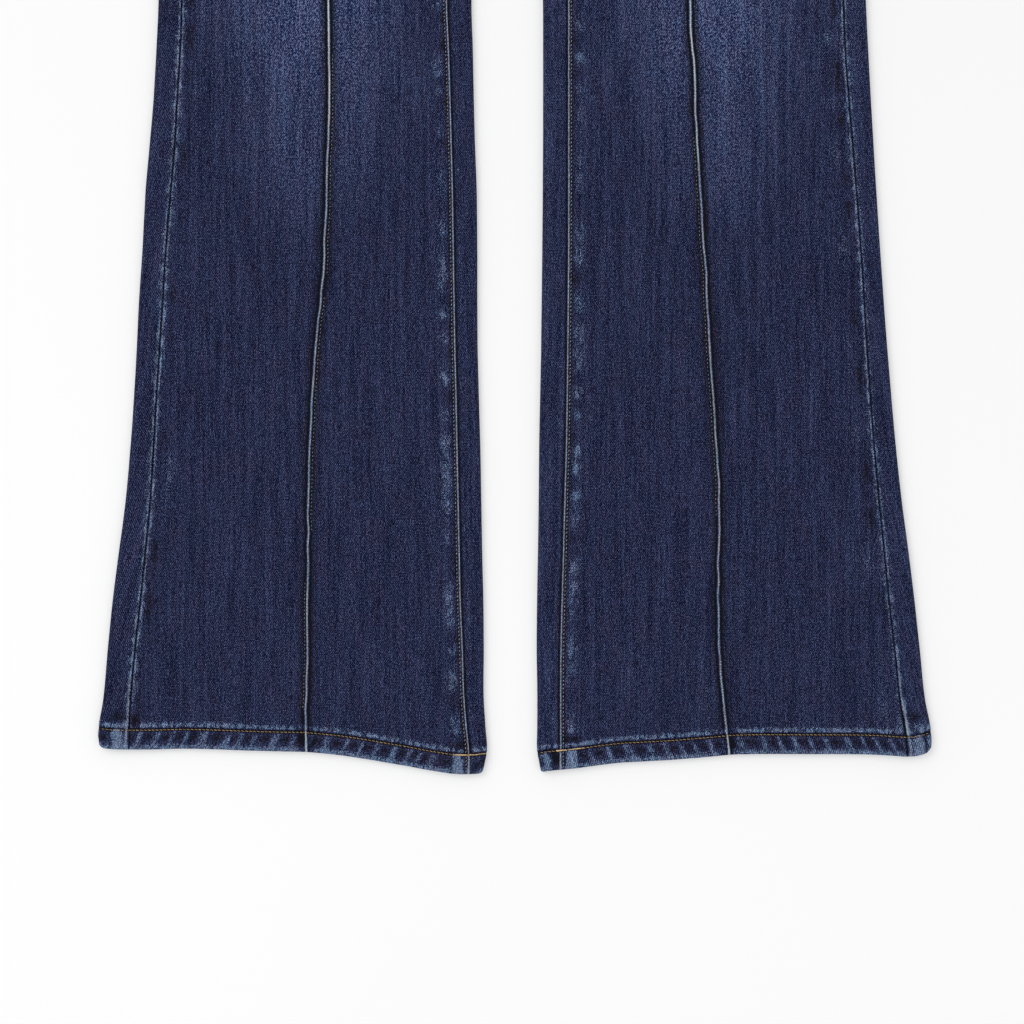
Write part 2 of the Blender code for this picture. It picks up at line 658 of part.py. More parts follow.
def add_loops(material, collection, parent):
    """Two belt loops on the waistband's front and three under its back."""
    over = SEAT_LIFT + 2 * BAND_WALL + 2 * GAP
    places = {
        "loop_front_right": (-LOOP_FRONT_PLACE, FRONT_DIP, over),
        "loop_front_left": (LOOP_FRONT_PLACE, FRONT_DIP, over),
        "loop_back_right": (-LOOP_BACK_PLACE, BACK_RISE, 0.0),
        "loop_back_left": (LOOP_BACK_PLACE, BACK_RISE, 0.0),
        "loop_back_middle": (0.0, BACK_RISE, 0.0),
    }
    for name, (place, middle, up) in places.items():
        loop = add_object(name, slab(name, loop_outline(), CLOTH), material, collection, parent)
        height = WAIST_SEAM + middle * (1.0 - (place / WAIST_HALF_WIDTH) ** 2)
        loop.location = (place + SEAT_CENTRE + MIDDLE, height - LENGTH / 2, up)
        slope = -2.0 * middle * place / WAIST_HALF_WIDTH**2
        loop.rotation_euler = (0.0, 0.0, math.atan(slope))


def add_button(material, collection, parent):
    """A turned metal button with a raised rim, on the waistband's left end."""
    rim = BUTTON_RADIUS
    profile = (
        (0.0, 0.0),
        (0.45 * rim, 0.0),
        (0.90 * rim, 0.30 * BUTTON_HEIGHT),
        (rim, 0.62 * BUTTON_HEIGHT),
        (0.92 * rim, 0.95 * BUTTON_HEIGHT),
        (0.80 * rim, BUTTON_HEIGHT),
        (0.68 * rim, 0.82 * BUTTON_HEIGHT),
        (0.0, 0.82 * BUTTON_HEIGHT),
    )
    mesh = bpy.data.meshes.new("button")
    shape = bmesh.new()
    points = [shape.verts.new((radius, 0.0, up)) for radius, up in profile]
    edges = [shape.edges.new(pair) for pair in zip(points, points[1:])]
    bmesh.ops.spin(
        shape, geom=points + edges, cent=(0.0, 0.0, 0.0), axis=(0.0, 0.0, 1.0),
        angle=2.0 * math.pi, steps=24, use_merge=True,
    )
    bmesh.ops.remove_doubles(shape, verts=shape.verts, dist=0.00001)
    bmesh.ops.recalc_face_normals(shape, faces=shape.faces)
    shape.to_mesh(mesh)
    shape.free()
    button = add_object("button", mesh, material, collection, parent)
    height = WAIST_SEAM + FRONT_DIP + BAND_DEPTH / 2
    up = SEAT_LIFT + 3 * BAND_WALL + 3 * GAP
    button.location = (BUTTON_PLACE + SEAT_CENTRE + MIDDLE, height - LENGTH / 2, up)


def main():
    """Build the jeans."""
    for old in list(bpy.data.objects):
        bpy.data.objects.remove(old, do_unlink=True)
    collection = bpy.data.collections.new("wide_leg_jeans")
    bpy.context.scene.collection.children.link(collection)
    parent = bpy.data.objects.new("jeans", None)
    collection.objects.link(parent)
    denim = principled("denim", INDIGO, 0.9)
    denim_dark = principled("denim_dark", INDIGO_DARK, 0.9)
    denim_light = principled("denim_light", INDIGO_LIGHT, 0.9)
    copper = principled("copper", COPPER, 0.35, 1.0)
    brass = principled("brass", BRASS, 0.35, 1.0)
    for word, side in SIDES.items():
        for name, grids, material, around in (
            (f"front_{word}", front_grids(side), denim, False),
            (f"back_{word}", back_grids(side), denim_dark, False),
            (f"yoke_{word}", yoke_grids(side), denim, False),
            (f"hem_{word}", hem_grids(side), denim_light, True),
            (f"pocket_facing_{word}", facing_grids(side), denim_dark, False),
        ):
            add_object(name, cloth_wall(name, grids, around), material, collection, parent)
    add_object("waistband", cloth_wall("waistband", waistband_grids()), denim, collection, parent)
    add_object("zip", cloth_wall("zip", zip_grids()), brass, collection, parent)
    add_back_pockets(denim_dark, collection, parent)
    add_loops(denim_light, collection, parent)
    add_button(copper, collection, parent)


main()
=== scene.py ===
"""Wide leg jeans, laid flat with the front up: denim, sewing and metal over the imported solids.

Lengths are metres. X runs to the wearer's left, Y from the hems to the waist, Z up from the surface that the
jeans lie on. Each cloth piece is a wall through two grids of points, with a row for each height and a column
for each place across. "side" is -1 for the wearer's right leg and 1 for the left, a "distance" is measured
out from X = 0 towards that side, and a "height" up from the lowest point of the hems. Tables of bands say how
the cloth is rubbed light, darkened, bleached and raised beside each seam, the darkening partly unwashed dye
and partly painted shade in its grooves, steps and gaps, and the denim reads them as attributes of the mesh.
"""

import math
from collections import namedtuple

import bpy
import numpy as np
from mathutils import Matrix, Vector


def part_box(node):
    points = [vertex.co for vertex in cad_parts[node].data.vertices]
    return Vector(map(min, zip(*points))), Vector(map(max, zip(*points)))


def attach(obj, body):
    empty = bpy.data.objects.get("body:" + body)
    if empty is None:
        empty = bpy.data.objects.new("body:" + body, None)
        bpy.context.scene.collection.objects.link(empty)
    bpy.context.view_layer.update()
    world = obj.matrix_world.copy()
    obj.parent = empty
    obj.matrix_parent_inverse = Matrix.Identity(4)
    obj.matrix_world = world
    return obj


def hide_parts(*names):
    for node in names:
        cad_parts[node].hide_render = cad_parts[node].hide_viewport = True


bl_info = {
    "name": "Wide Leg Jeans",
    "version": (1, 0, 0),
    "blender": (4, 5, 0),
    "location": "3D View > Sidebar > Jeans",
    "description": "Denim, sewing and metal for a pair of wide leg jeans laid flat",
    "category": "Mesh",
}

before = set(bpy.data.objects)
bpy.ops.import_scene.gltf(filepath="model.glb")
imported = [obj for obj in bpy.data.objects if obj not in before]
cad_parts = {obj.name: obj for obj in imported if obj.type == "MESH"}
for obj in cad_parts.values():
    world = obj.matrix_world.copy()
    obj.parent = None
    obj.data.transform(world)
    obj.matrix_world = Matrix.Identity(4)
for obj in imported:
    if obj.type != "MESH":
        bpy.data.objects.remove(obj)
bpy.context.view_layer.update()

# The garment's own sizes, as its solids have them.
CLOTH = 0.0012
GAP = 0.0003
LENGTH = 1.1208
MIDDLE = 0.00043
SEAT_CENTRE = -0.004
FOLD_RADIUS = 0.0025
FOLD_STEPS = 4
INNER_ROOM = 0.0010
SEAT_LIFT = 0.0015
LIFT_HEIGHTS = (0.796, 0.843)
EDGE_FLAP = 0.0004
EDGE_SPACING = 0.0008
SEAM_STEP = 0.00005
FRONT_SLOPE = 0.045
PANEL_START = 0.01396
PANEL_TOP = 0.900
HEM_DEPTH = 0.0139
HEM_WALL = 0.0022
HEM_RADIUS = 0.0030
HEM_ROOM = 0.0005
HEM_BLEND = 0.150
HEM_RISE = 0.0012
TUCK_FOOT = 0.0018
TUCK_HEIGHT = 0.0008
WAIST_SEAM = 1.0722
WAIST_HALF_WIDTH = 0.187
WAIST_BLEND = 0.110
FRONT_DIP = -0.020
BACK_RISE = 0.010
WAIST_RISE = 0.0011
BAND_DEPTH = 0.038
BAND_WALL = 0.0024
BAND_GAP = 0.0005
BAND_UNDERLAP = 0.038
BAND_RAMP = (0.041, 0.058)
YOKE_SIDE = 1.032
YOKE_CENTRE = 1.007
YOKE_HALF_WIDTH = 0.209
FLY_HEIGHTS = (0.900, 0.930, 0.945)
FLY_LAP = 0.006
FLY_TOP = 0.0051
FLY_UNDER = 0.0027
POCKET_LOW = 0.980
POCKET_REACH = 0.068
POCKET_EDGE = 0.0046
FACING_UNDERLAP = 0.012
FACING_SLOPE = 0.018
FACING_INSET = 0.004
FACING_LOW = 0.966
BACK_POCKET_WIDTH = 0.140
BACK_POCKET_FOOT = 0.122
BACK_POCKET_SIDE = 0.130
BACK_POCKET_POINT = 0.022
BACK_POCKET_CENTRE = 0.098
BACK_POCKET_TOP = 1.000
BACK_POCKET_TURN = math.radians(3.0)
LOOP_WIDTH = 0.011
LOOP_LENGTH = 0.045
LOOP_OVERHANG = 0.007
LOOP_FRONT_PLACE = 0.086
LOOP_BACK_PLACE = 0.128

SIDES = {"right": -1, "left": 1}

Section = namedtuple("Section", "height outer outseam tuck inseam inner")
RIGHT_LEG = (
    Section(0.000, 0.2818, 0.2627, 0.14165, 0.0314, 0.0220),
    Section(0.016, 0.2828, 0.2629, 0.14185, 0.0312, 0.0190),
    Section(0.030, 0.2834, 0.2623, 0.14225, 0.0325, 0.0199),
    Section(0.050, 0.2804, 0.2613, 0.14225, 0.0342, 0.0212),
    Section(0.085, 0.2772, 0.2582, 0.14125, 0.0354, 0.0212),
    Section(0.118, 0.2738, 0.2545, 0.14105, 0.0368, 0.0215),
    Section(0.152, 0.2694, 0.2511, 0.14065, 0.0375, 0.0223),
    Section(0.186, 0.2650, 0.2479, 0.14045, 0.0382, 0.0229),
    Section(0.220, 0.2619, 0.2457, 0.13965, 0.0389, 0.0235),
    Section(0.255, 0.2594, 0.2437, 0.13795, 0.0396, 0.0245),
    Section(0.288, 0.2575, 0.2416, 0.13565, 0.0404, 0.0253),
    Section(0.320, 0.2560, 0.2395, 0.13255, 0.0409, 0.0256),
    Section(0.356, 0.2536, 0.2373, 0.12945, 0.0415, 0.0256),
    Section(0.400, 0.2512, 0.2336, 0.1279, 0.0422, 0.0261),
    Section(0.424, 0.2490, 0.2315, 0.1272, 0.0428, 0.0270),
    Section(0.460, 0.2460, 0.2295, 0.1266, 0.0438, 0.0280),
    Section(0.492, 0.2441, 0.2275, 0.1263, 0.0448, 0.0286),
    Section(0.526, 0.2426, 0.2265, 0.1267, 0.0461, 0.0296),
)
LEFT_LEG = (
    Section(0.000, 0.2828, 0.2672, 0.1462, 0.0308, 0.0180),
    Section(0.016, 0.2832, 0.2672, 0.1454, 0.0307, 0.0150),
    Section(0.030, 0.2829, 0.2652, 0.1438, 0.0306, 0.0151),
    Section(0.050, 0.2792, 0.2618, 0.1416, 0.0306, 0.0152),
    Section(0.085, 0.2755, 0.2581, 0.1390, 0.0308, 0.0147),
    Section(0.118, 0.2719, 0.2543, 0.1382, 0.0316, 0.0150),
    Section(0.152, 0.2677, 0.2509, 0.1383, 0.0326, 0.0156),
    Section(0.186, 0.2632, 0.2475, 0.1387, 0.0334, 0.0161),
    Section(0.220, 0.2595, 0.2444, 0.1372, 0.0344, 0.0164),
    Section(0.288, 0.2536, 0.2394, 0.1324, 0.0354, 0.0177),
    Section(0.356, 0.2486, 0.2352, 0.1287, 0.0360, 0.0185),
    Section(0.424, 0.2443, 0.2299, 0.1243, 0.0361, 0.0190),
    Section(0.492, 0.2405, 0.2246, 0.1209, 0.0361, 0.0191),
    Section(0.526, 0.2388, 0.2232, 0.1189, 0.0360, 0.0190),
)
SEAT = (
    Section(0.600, 0.2405, 0.2262, 0.1200, 0.0350, 0.0200),
    Section(0.680, 0.2430, 0.2295, 0.1175, 0.0205, 0.0112),
    Section(0.740, 0.2460, 0.2330, 0.1152, 0.0084, 0.0050),
    Section(0.755, 0.2467, 0.2338, 0.1146, 0.0062, 0.0040),
    Section(0.770, 0.2474, 0.2346, 0.1140, 0.0032, 0.0031),
    Section(0.785, 0.2481, 0.2354, 0.1134, 0.0023, 0.0022),
    Section(0.800, 0.2487, 0.2361, 0.1128, 0.0014, 0.0013),
    Section(0.820, 0.2492, 0.2368, 0.1120, 0.0002, 0.0002),
    Section(0.870, 0.2488, 0.2366, 0.1098, 0.0002, 0.0002),
    Section(0.930, 0.2428, 0.2310, 0.1070, 0.0002, 0.0002),
    Section(0.980, 0.2305, 0.2190, 0.1046, 0.0002, 0.0002),
    Section(1.030, 0.2098, 0.1985, 0.1020, 0.0002, 0.0002),
    Section(1.073, 0.1895, 0.1785, 0.1000, 0.0002, 0.0002),
    Section(1.121, 0.1840, 0.1730, 0.0980, 0.0002, 0.0002),
)

Crotch = namedtuple("Crotch", "height curl edge_top")
CROTCH = (
    Crotch(0.740, 180.0, 0.00505),
    Crotch(0.755, 135.0, 0.00520),
    Crotch(0.770, 90.0, 0.00450),
    Crotch(0.785, 45.0, 0.00340),
    Crotch(0.800, 0.0, 0.00275),
    Crotch(0.820, 0.0, 0.00275),
    Crotch(0.860, 0.0, 0.00340),
)

HemPoint = namedtuple("HemPoint", "across rise")
RIGHT_HEM = (
    HemPoint(0.0185, 0.0010),
    HemPoint(0.0258, 0.0003),
    HemPoint(0.0411, 0.0001),
    HemPoint(0.0520, 0.0016),
    HemPoint(0.0629, 0.0034),
    HemPoint(0.0738, 0.0055),
    HemPoint(0.0847, 0.0073),
    HemPoint(0.0955, 0.0092),
    HemPoint(0.1064, 0.0110),
    HemPoint(0.1173, 0.0126),
    HemPoint(0.1282, 0.0138),
    HemPoint(0.1391, 0.0148),
    HemPoint(0.1608, 0.0154),
    HemPoint(0.1826, 0.0160),
    HemPoint(0.2043, 0.0168),
    HemPoint(0.2261, 0.0172),
    HemPoint(0.2479, 0.0167),
    HemPoint(0.2604, 0.0167),
    HemPoint(0.2725, 0.0169),
    HemPoint(0.2840, 0.0180),
)
LEFT_HEM = (
    HemPoint(0.0153, 0.0011),
    HemPoint(0.0231, 0.0022),
    HemPoint(0.0314, 0.0030),
    HemPoint(0.0391, 0.0037),
    HemPoint(0.0609, 0.0065),
    HemPoint(0.0717, 0.0077),
    HemPoint(0.0826, 0.0083),
    HemPoint(0.0935, 0.0089),
    HemPoint(0.1044, 0.0095),
    HemPoint(0.1153, 0.0103),
    HemPoint(0.1261, 0.0112),
    HemPoint(0.1370, 0.0122),
    HemPoint(0.1479, 0.0132),
    HemPoint(0.1588, 0.0135),
    HemPoint(0.1805, 0.0136),
    HemPoint(0.2020, 0.0135),
    HemPoint(0.2237, 0.0135),
    HemPoint(0.2455, 0.0131),
    HemPoint(0.2563, 0.0125),
    HemPoint(0.2672, 0.0119),
    HemPoint(0.2735, 0.0124),
    HemPoint(0.2785, 0.0138),
    HemPoint(0.2833, 0.0158),
)

# How finely the cloth is modelled: rows up the leg, and columns close beside each seam line and further apart
# between them.
KNEE = 0.530
ROW_STEP = 0.0025
UPPER_ROW_STEP = 0.0045
NEAR = (
    0.0003, 0.0006, 0.0009, 0.00125, 0.0016, 0.0020, 0.0026, 0.0034, 0.0044, 0.0056, 0.0070, 0.0088, 0.0110,
)
FLAP_SHARES = (0.0, 0.02, 0.045, 0.07, 0.10, 0.14, 0.19, 0.26, 0.35, 0.46, 0.60, 0.78, 1.0)
BEND_COLUMNS = 8
UNDERSIDE_COLUMNS = 46
SCOOP_ROWS = 26
EDGE_ROWS = (0.0, 0.00012, 0.00035, 0.0007, 0.0012)

# How the cloth is rubbed and darkened beside a seam, by distance from it. The number after the width is above
# 0 where the indigo is rubbed light and below 0 where the cloth is darkened, partly by dye left unwashed in
# creases and partly as painted shade in the grooves, steps and gaps beside seams and stitches. patchy breaks
# that into spots, pale is bleached to bare cotton, and rise is relief. "on" is 1 for a band on the seam's
# puckers only, -1 for one between them, and 0 for one all along.
Band = namedtuple("Band", "centre width worn patchy pale rise on")
INSEAM_FRONT = (
    Band(0.0001, 0.00062, 1.80, 0.00, 0.35, 0.00000, 0),
    # Darker cloth under the inseam's stitches, with painted shadow in their trough.
    Band(0.0024, 0.00095, -1.05, 0.00, 0.00, -0.00022, 0),
    Band(0.0076, 0.00350, 0.54, 0.36, 0.00, 0.00026, 1),
    Band(0.0052, 0.00280, -0.62, 0.10, 0.00, -0.00018, -1),
)
INSEAM_BACK = (
    # Painted shadow of the step down from the front's edge onto the back.
    Band(0.0008, 0.00080, -1.00, 0.00, 0.00, -0.00050, 0),
    Band(0.0040, 0.00200, 0.10, 0.25, 0.00, 0.00008, 1),
)
SEAM_GROOVE = (
    # Painted shade in the outseam's narrow groove.
    Band(0.0000, 0.00034, -0.95, 0.00, 0.00, -0.00050, 0),
)
SEAM_RIDGE = (
    Band(0.0011, 0.00072, 0.84, 0.24, 0.17, 0.00016, 0),
    Band(0.0026, 0.00130, 0.17, 0.38, 0.00, 0.00006, 0),
)
SEAM_BLOTS = (
    Band(0.0062, 0.00280, -0.80, 0.15, 0.00, -0.00020, -1),
    Band(0.0118, 0.00320, 0.50, 0.34, 0.00, 0.00018, 1),
)
TUCK = (
    Band(0.0000, 0.00063, 1.60, 0.00, 0.54, 0.00000, 0),
    # The next two bands: cloth beside the ridge that rubbing missed, with painted shadow over it.
    Band(0.0017, 0.00075, -1.10, 0.00, 0.00, -0.00024, 0),
    Band(0.0036, 0.00230, -0.60, 0.00, 0.00, 0.00000, 0),
)
ABOVE_HEM = (
    # Painted shadow in the groove where the leg meets the hem's top.
    Band(0.0000, 0.00065, -1.40, 0.00, 0.00, -0.00020, 0),
    Band(0.0024, 0.00175, 0.70, 0.55, 0.00, 0.00014, 0),
)
HEM_EDGES = (
    Band(0.0012, 0.00230, 0.78, 0.30, 0.05, 0.00000, 0),
    # Painted shadow in the groove under the hem's stitches, where the hem meets the leg.
    Band(0.0132, 0.00100, -1.30, 0.00, 0.00, -0.00024, 0),
)
HEM_ROPES = (
    Band(0.0076, 0.00440, 0.62, 0.30, 0.00, 0.00036, 1),
    Band(0.0080, 0.00330, -0.78, 0.00, 0.00, -0.00022, -1),
    Band(0.0113, 0.00080, 0.30, 0.30, 0.00, 0.00000, 1),
)
SEAM_FOOT = (
    # Painted shade in the outseam's groove by the hem.
    Band(0.0000, 0.00090, -1.20, 0.00, 0.00, -0.00030, 0),
    Band(0.0018, 0.00080, 1.90, 0.10, 0.22, 0.00016, 0),
)
HEM_BY_SEAM = (
    Band(0.0082, 0.00360, 1.50, 0.80, 0.15, 0.00016, 0),
    # Painted shadow in the groove under the hem's stitches, where the hem meets the leg.
    Band(0.0128, 0.00100, -1.00, 0.00, 0.00, -0.00010, 0),
)
HEM_PAST_SEAM = (
    Band(0.0040, 0.00220, -0.90, 0.00, 0.00, -0.00010, 0),
    Band(0.0092, 0.00170, 0.65, 0.40, 0.00, 0.00010, 0),
)
# In the next three tables each narrow band below 0 lies in the trough beside an edge or a row of stitches:
# unwashed dye there, with painted shade over it.
BAND_EDGE = (
    Band(0.0002, 0.00070, 0.55, 0.20, 0.14, 0.00000, 0),
    Band(0.0020, 0.00080, -0.90, 0.00, 0.00, -0.00022, 0),
    Band(0.0056, 0.00250, 0.45, 0.30, 0.00, 0.00020, 1),
    Band(0.0056, 0.00250, -0.50, 0.00, 0.00, -0.00012, -1),
)
FELLED = (
    Band(0.0001, 0.00060, 0.60, 0.20, 0.18, 0.00000, 0),
    Band(0.0018, 0.00060, -0.80, 0.00, 0.00, -0.00018, 0),
    Band(0.0046, 0.00140, 0.50, 0.35, 0.00, 0.00022, 1),
    Band(0.0046, 0.00140, -0.40, 0.00, 0.00, 0.00000, -1),
    Band(0.0076, 0.00060, -0.80, 0.00, 0.00, -0.00018, 0),
    Band(0.0104, 0.00160, 0.40, 0.35, 0.00, 0.00012, 1),
)
PLAIN_EDGE = (
    Band(0.0002, 0.00060, 0.50, 0.20, 0.08, 0.00000, 0),
    Band(0.0014, 0.00070, -0.70, 0.00, 0.00, -0.00012, 0),
)
OUTSEAM_PITCH = 0.0155
INSEAM_PITCH = 0.0230
BLOT_PITCH = 0.0300
HEM_PITCH = 0.0113
HEM_LEAN = 0.05
BAND_PITCH = 0.0150

# The puckers of the four long seams below the knee, light (above 0) and dark: height, half length, strength.
# Above PATCHES_END others take over, spaced by the pitches.
PATCHES_END = (0.520, 0.545)
PATCH_SPREAD = 1.2
Patch = namedtuple("Patch", "height length strength")
RIGHT_INSEAM_PATCHES = (
    Patch(0.0354, 0.0070, 0.8),
    Patch(0.0483, 0.0063, -0.7),
    Patch(0.0646, 0.0109, 0.9),
    Patch(0.0782, 0.0031, -0.5),
    Patch(0.0843, 0.0047, 0.6),
    Patch(0.0911, 0.0039, -0.7),
    Patch(0.1047, 0.0070, 0.6),
    Patch(0.1217, 0.0086, 0.6),
    Patch(0.1408, 0.0094, -0.5),
    Patch(0.1591, 0.0078, 0.35),
    Patch(0.1822, 0.0047, 0.4),
    Patch(0.2020, 0.0125, 0.9),
    Patch(0.2264, 0.0063, 0.8),
    Patch(0.2353, 0.0031, -0.5),
    Patch(0.2441, 0.0078, 0.35),
    Patch(0.2577, 0.0047, -0.8),
    Patch(0.2679, 0.0055, 0.9),
    Patch(0.2863, 0.0039, -0.6),
    Patch(0.2965, 0.0055, 0.5),
    Patch(0.3053, 0.0039, -0.5),
    Patch(0.3135, 0.0039, 0.8),
    Patch(0.3223, 0.0047, -0.6),
    Patch(0.3386, 0.0117, 0.8),
    Patch(0.3713, 0.0063, 0.45),
    Patch(0.4039, 0.0078, 0.4),
    Patch(0.4291, 0.0031, -0.5),
    Patch(0.4359, 0.0047, 0.4),
    Patch(0.4570, 0.0031, -0.6),
    Patch(0.4644, 0.0031, 0.6),
    Patch(0.4699, 0.0031, -0.7),
    Patch(0.4787, 0.0070, 0.6),
    Patch(0.4957, 0.0047, -1),
    Patch(0.5148, 0.0031, -0.9),
    Patch(0.5209, 0.0047, 0.5),
)
LEFT_INSEAM_PATCHES = (
    Patch(0.0320, 0.0047, 0.9),
    Patch(0.0537, 0.0039, -0.6),
    Patch(0.0673, 0.0109, 0.4),
    Patch(0.0870, 0.0063, 0.6),
    Patch(0.1122, 0.0063, 0.3),
    Patch(0.1258, 0.0070, 0.6),
    Patch(0.1414, 0.0070, 0.7),
    Patch(0.1510, 0.0023, -0.6),
    Patch(0.1544, 0.0023, 0.5),
    Patch(0.1612, 0.0039, -0.9),
    Patch(0.1714, 0.0063, 0.6),
    Patch(0.1884, 0.0039, 0.6),
    Patch(0.1972, 0.0031, -0.8),
    Patch(0.2040, 0.0094, 0.9),
    Patch(0.2203, 0.0047, 0.9),
    Patch(0.2278, 0.0031, -0.6),
    Patch(0.2428, 0.0063, 0.4),
    Patch(0.2516, 0.0031, -0.7),
    Patch(0.2598, 0.0063, 0.85),
    Patch(0.2686, 0.0031, -0.6),
    Patch(0.2768, 0.0039, 0.7),
    Patch(0.2856, 0.0031, 0.6),
    Patch(0.3006, 0.0063, 0.9),
    Patch(0.3101, 0.0031, -0.6),
    Patch(0.3203, 0.0094, 0.6),
    Patch(0.3373, 0.0055, -0.9),
    Patch(0.3495, 0.0086, 0.7),
    Patch(0.3692, 0.0070, 0.6),
    Patch(0.4019, 0.0063, 0.35),
    Patch(0.4175, 0.0070, 0.35),
    Patch(0.4481, 0.0047, 0.4),
    Patch(0.4651, 0.0039, 0.35),
    Patch(0.4753, 0.0031, -0.6),
    Patch(0.4869, 0.0055, 0.6),
    Patch(0.4991, 0.0039, -0.9),
    Patch(0.5073, 0.0063, 0.6),
)
RIGHT_OUTSEAM_PATCHES = (
    Patch(0.0469, 0.0109, -0.4),
    Patch(0.1115, 0.0141, -0.7),
    Patch(0.1510, 0.0070, -0.8),
    Patch(0.2101, 0.0156, 0.4),
    Patch(0.2271, 0.0070, -0.7),
    Patch(0.3257, 0.0055, -0.6),
    Patch(0.4209, 0.0078, -0.8),
    Patch(0.4651, 0.0031, 0.6),
    Patch(0.4774, 0.0094, -0.8),
    Patch(0.4814, 0.0070, 0.7),
    Patch(0.5025, 0.0109, -1),
    Patch(0.5168, 0.0055, 0.7),
    Patch(0.5243, 0.0039, -0.9),
)
LEFT_OUTSEAM_PATCHES = (
    Patch(0.0469, 0.0125, 0.4),
    Patch(0.1183, 0.0094, -0.5),
    Patch(0.1455, 0.0109, 0.4),
    Patch(0.1727, 0.0070, -0.9),
    Patch(0.2067, 0.0070, -0.9),
    Patch(0.2339, 0.0109, 0.3),
    Patch(0.2693, 0.0156, -0.7),
    Patch(0.2917, 0.0063, 0.4),
    Patch(0.3101, 0.0063, -0.8),
    Patch(0.3563, 0.0109, 0.4),
    Patch(0.3835, 0.0055, -0.9),
    Patch(0.4039, 0.0039, -0.7),
    Patch(0.4243, 0.0078, 0.4),
    Patch(0.4447, 0.0039, -0.8),
    Patch(0.4583, 0.0063, 0.5),
    Patch(0.4753, 0.0109, -1),
    Patch(0.4991, 0.0063, 0.5),
    Patch(0.5195, 0.0070, -0.9),
)

# How light the two sides of each outseam are rubbed, the front's side and the back's.
Side = namedtuple("Side", "height front back")
RIGHT_OUTSEAM_SIDES = (
    Side(0.023, 0, 1.05),
    Side(0.045, 0.35, 1.0),
    Side(0.080, 0.95, 1.0),
    Side(0.173, 0.9, 0.95),
    Side(0.227, 0.95, 0.9),
    Side(0.302, 1.0, 0.9),
    Side(0.377, 0.95, 0.85),
    Side(0.438, 0.95, 0.9),
    Side(0.526, 1.0, 0.9),
)
LEFT_OUTSEAM_SIDES = (
    Side(0.023, 0, 1.05),
    Side(0.060, 0.35, 0.95),
    Side(0.118, 0.6, 0.8),
    Side(0.173, 0.7, 0.7),
    Side(0.254, 0.95, 0.5),
    Side(0.322, 1.0, 0.45),
    Side(0.390, 1.0, 0.6),
    Side(0.438, 1.0, 0.7),
    Side(0.526, 0.95, 0.75),
)

# Hollows darkened (above 0), partly by unwashed dye and partly as painted shade, and humps rubbed light
# (below 0), near where a seam meets the hem's stitches.
Hollow = namedtuple("Hollow", "side distance height half_width half_height strength")
HOLLOWS = (
    Hollow(-1, 0.0372, 0.0188, 0.0078, 0.0030, 0.9),
    Hollow(-1, 0.2700, 0.0392, 0.0072, 0.0034, 0.85),
    Hollow(-1, 0.2586, 0.0357, 0.0028, 0.0056, 1.0),
    Hollow(-1, 0.2538, 0.0357, 0.0008, 0.0075, -0.55),
    Hollow(-1, 0.2566, 0.0590, 0.0016, 0.0040, -0.60),
    Hollow(-1, 0.2720, 0.0318, 0.0060, 0.0030, -0.45),
    Hollow(1, 0.0392, 0.0236, 0.0074, 0.0028, 1.0),
    Hollow(1, 0.2710, 0.0388, 0.0062, 0.0040, 0.8),
    Hollow(1, 0.2760, 0.0330, 0.0066, 0.0030, -0.55),
    Hollow(1, 0.2609, 0.0333, 0.0020, 0.0072, -0.50),
)

# The sanded fade down each front and up the back of each thigh: how far it reaches from the pintuck, and how
# strong it is.
Fade = namedtuple("Fade", "height half_width strength")
FRONT_FADE = (
    Fade(0.000, 0.030, 0.00),
    Fade(0.300, 0.022, 0.00),
    Fade(0.360, 0.028, 0.22),
    Fade(0.400, 0.042, 0.56),
    Fade(0.450, 0.055, 0.66),
    Fade(0.526, 0.062, 1.00),
    Fade(0.620, 0.066, 1.10),
    Fade(0.760, 0.070, 1.20),
    Fade(0.860, 0.070, 0.90),
    Fade(0.960, 0.080, 0.45),
    Fade(1.121, 0.080, 0.25),
)
BACK_FADE = (
    Fade(0.000, 0.030, 0.00),
    Fade(0.300, 0.040, 0.05),
    Fade(0.450, 0.050, 0.30),
    Fade(0.620, 0.055, 0.55),
    Fade(0.760, 0.065, 0.75),
    Fade(0.880, 0.075, 1.00),
    Fade(0.980, 0.075, 0.70),
    Fade(1.121, 0.080, 0.30),
)

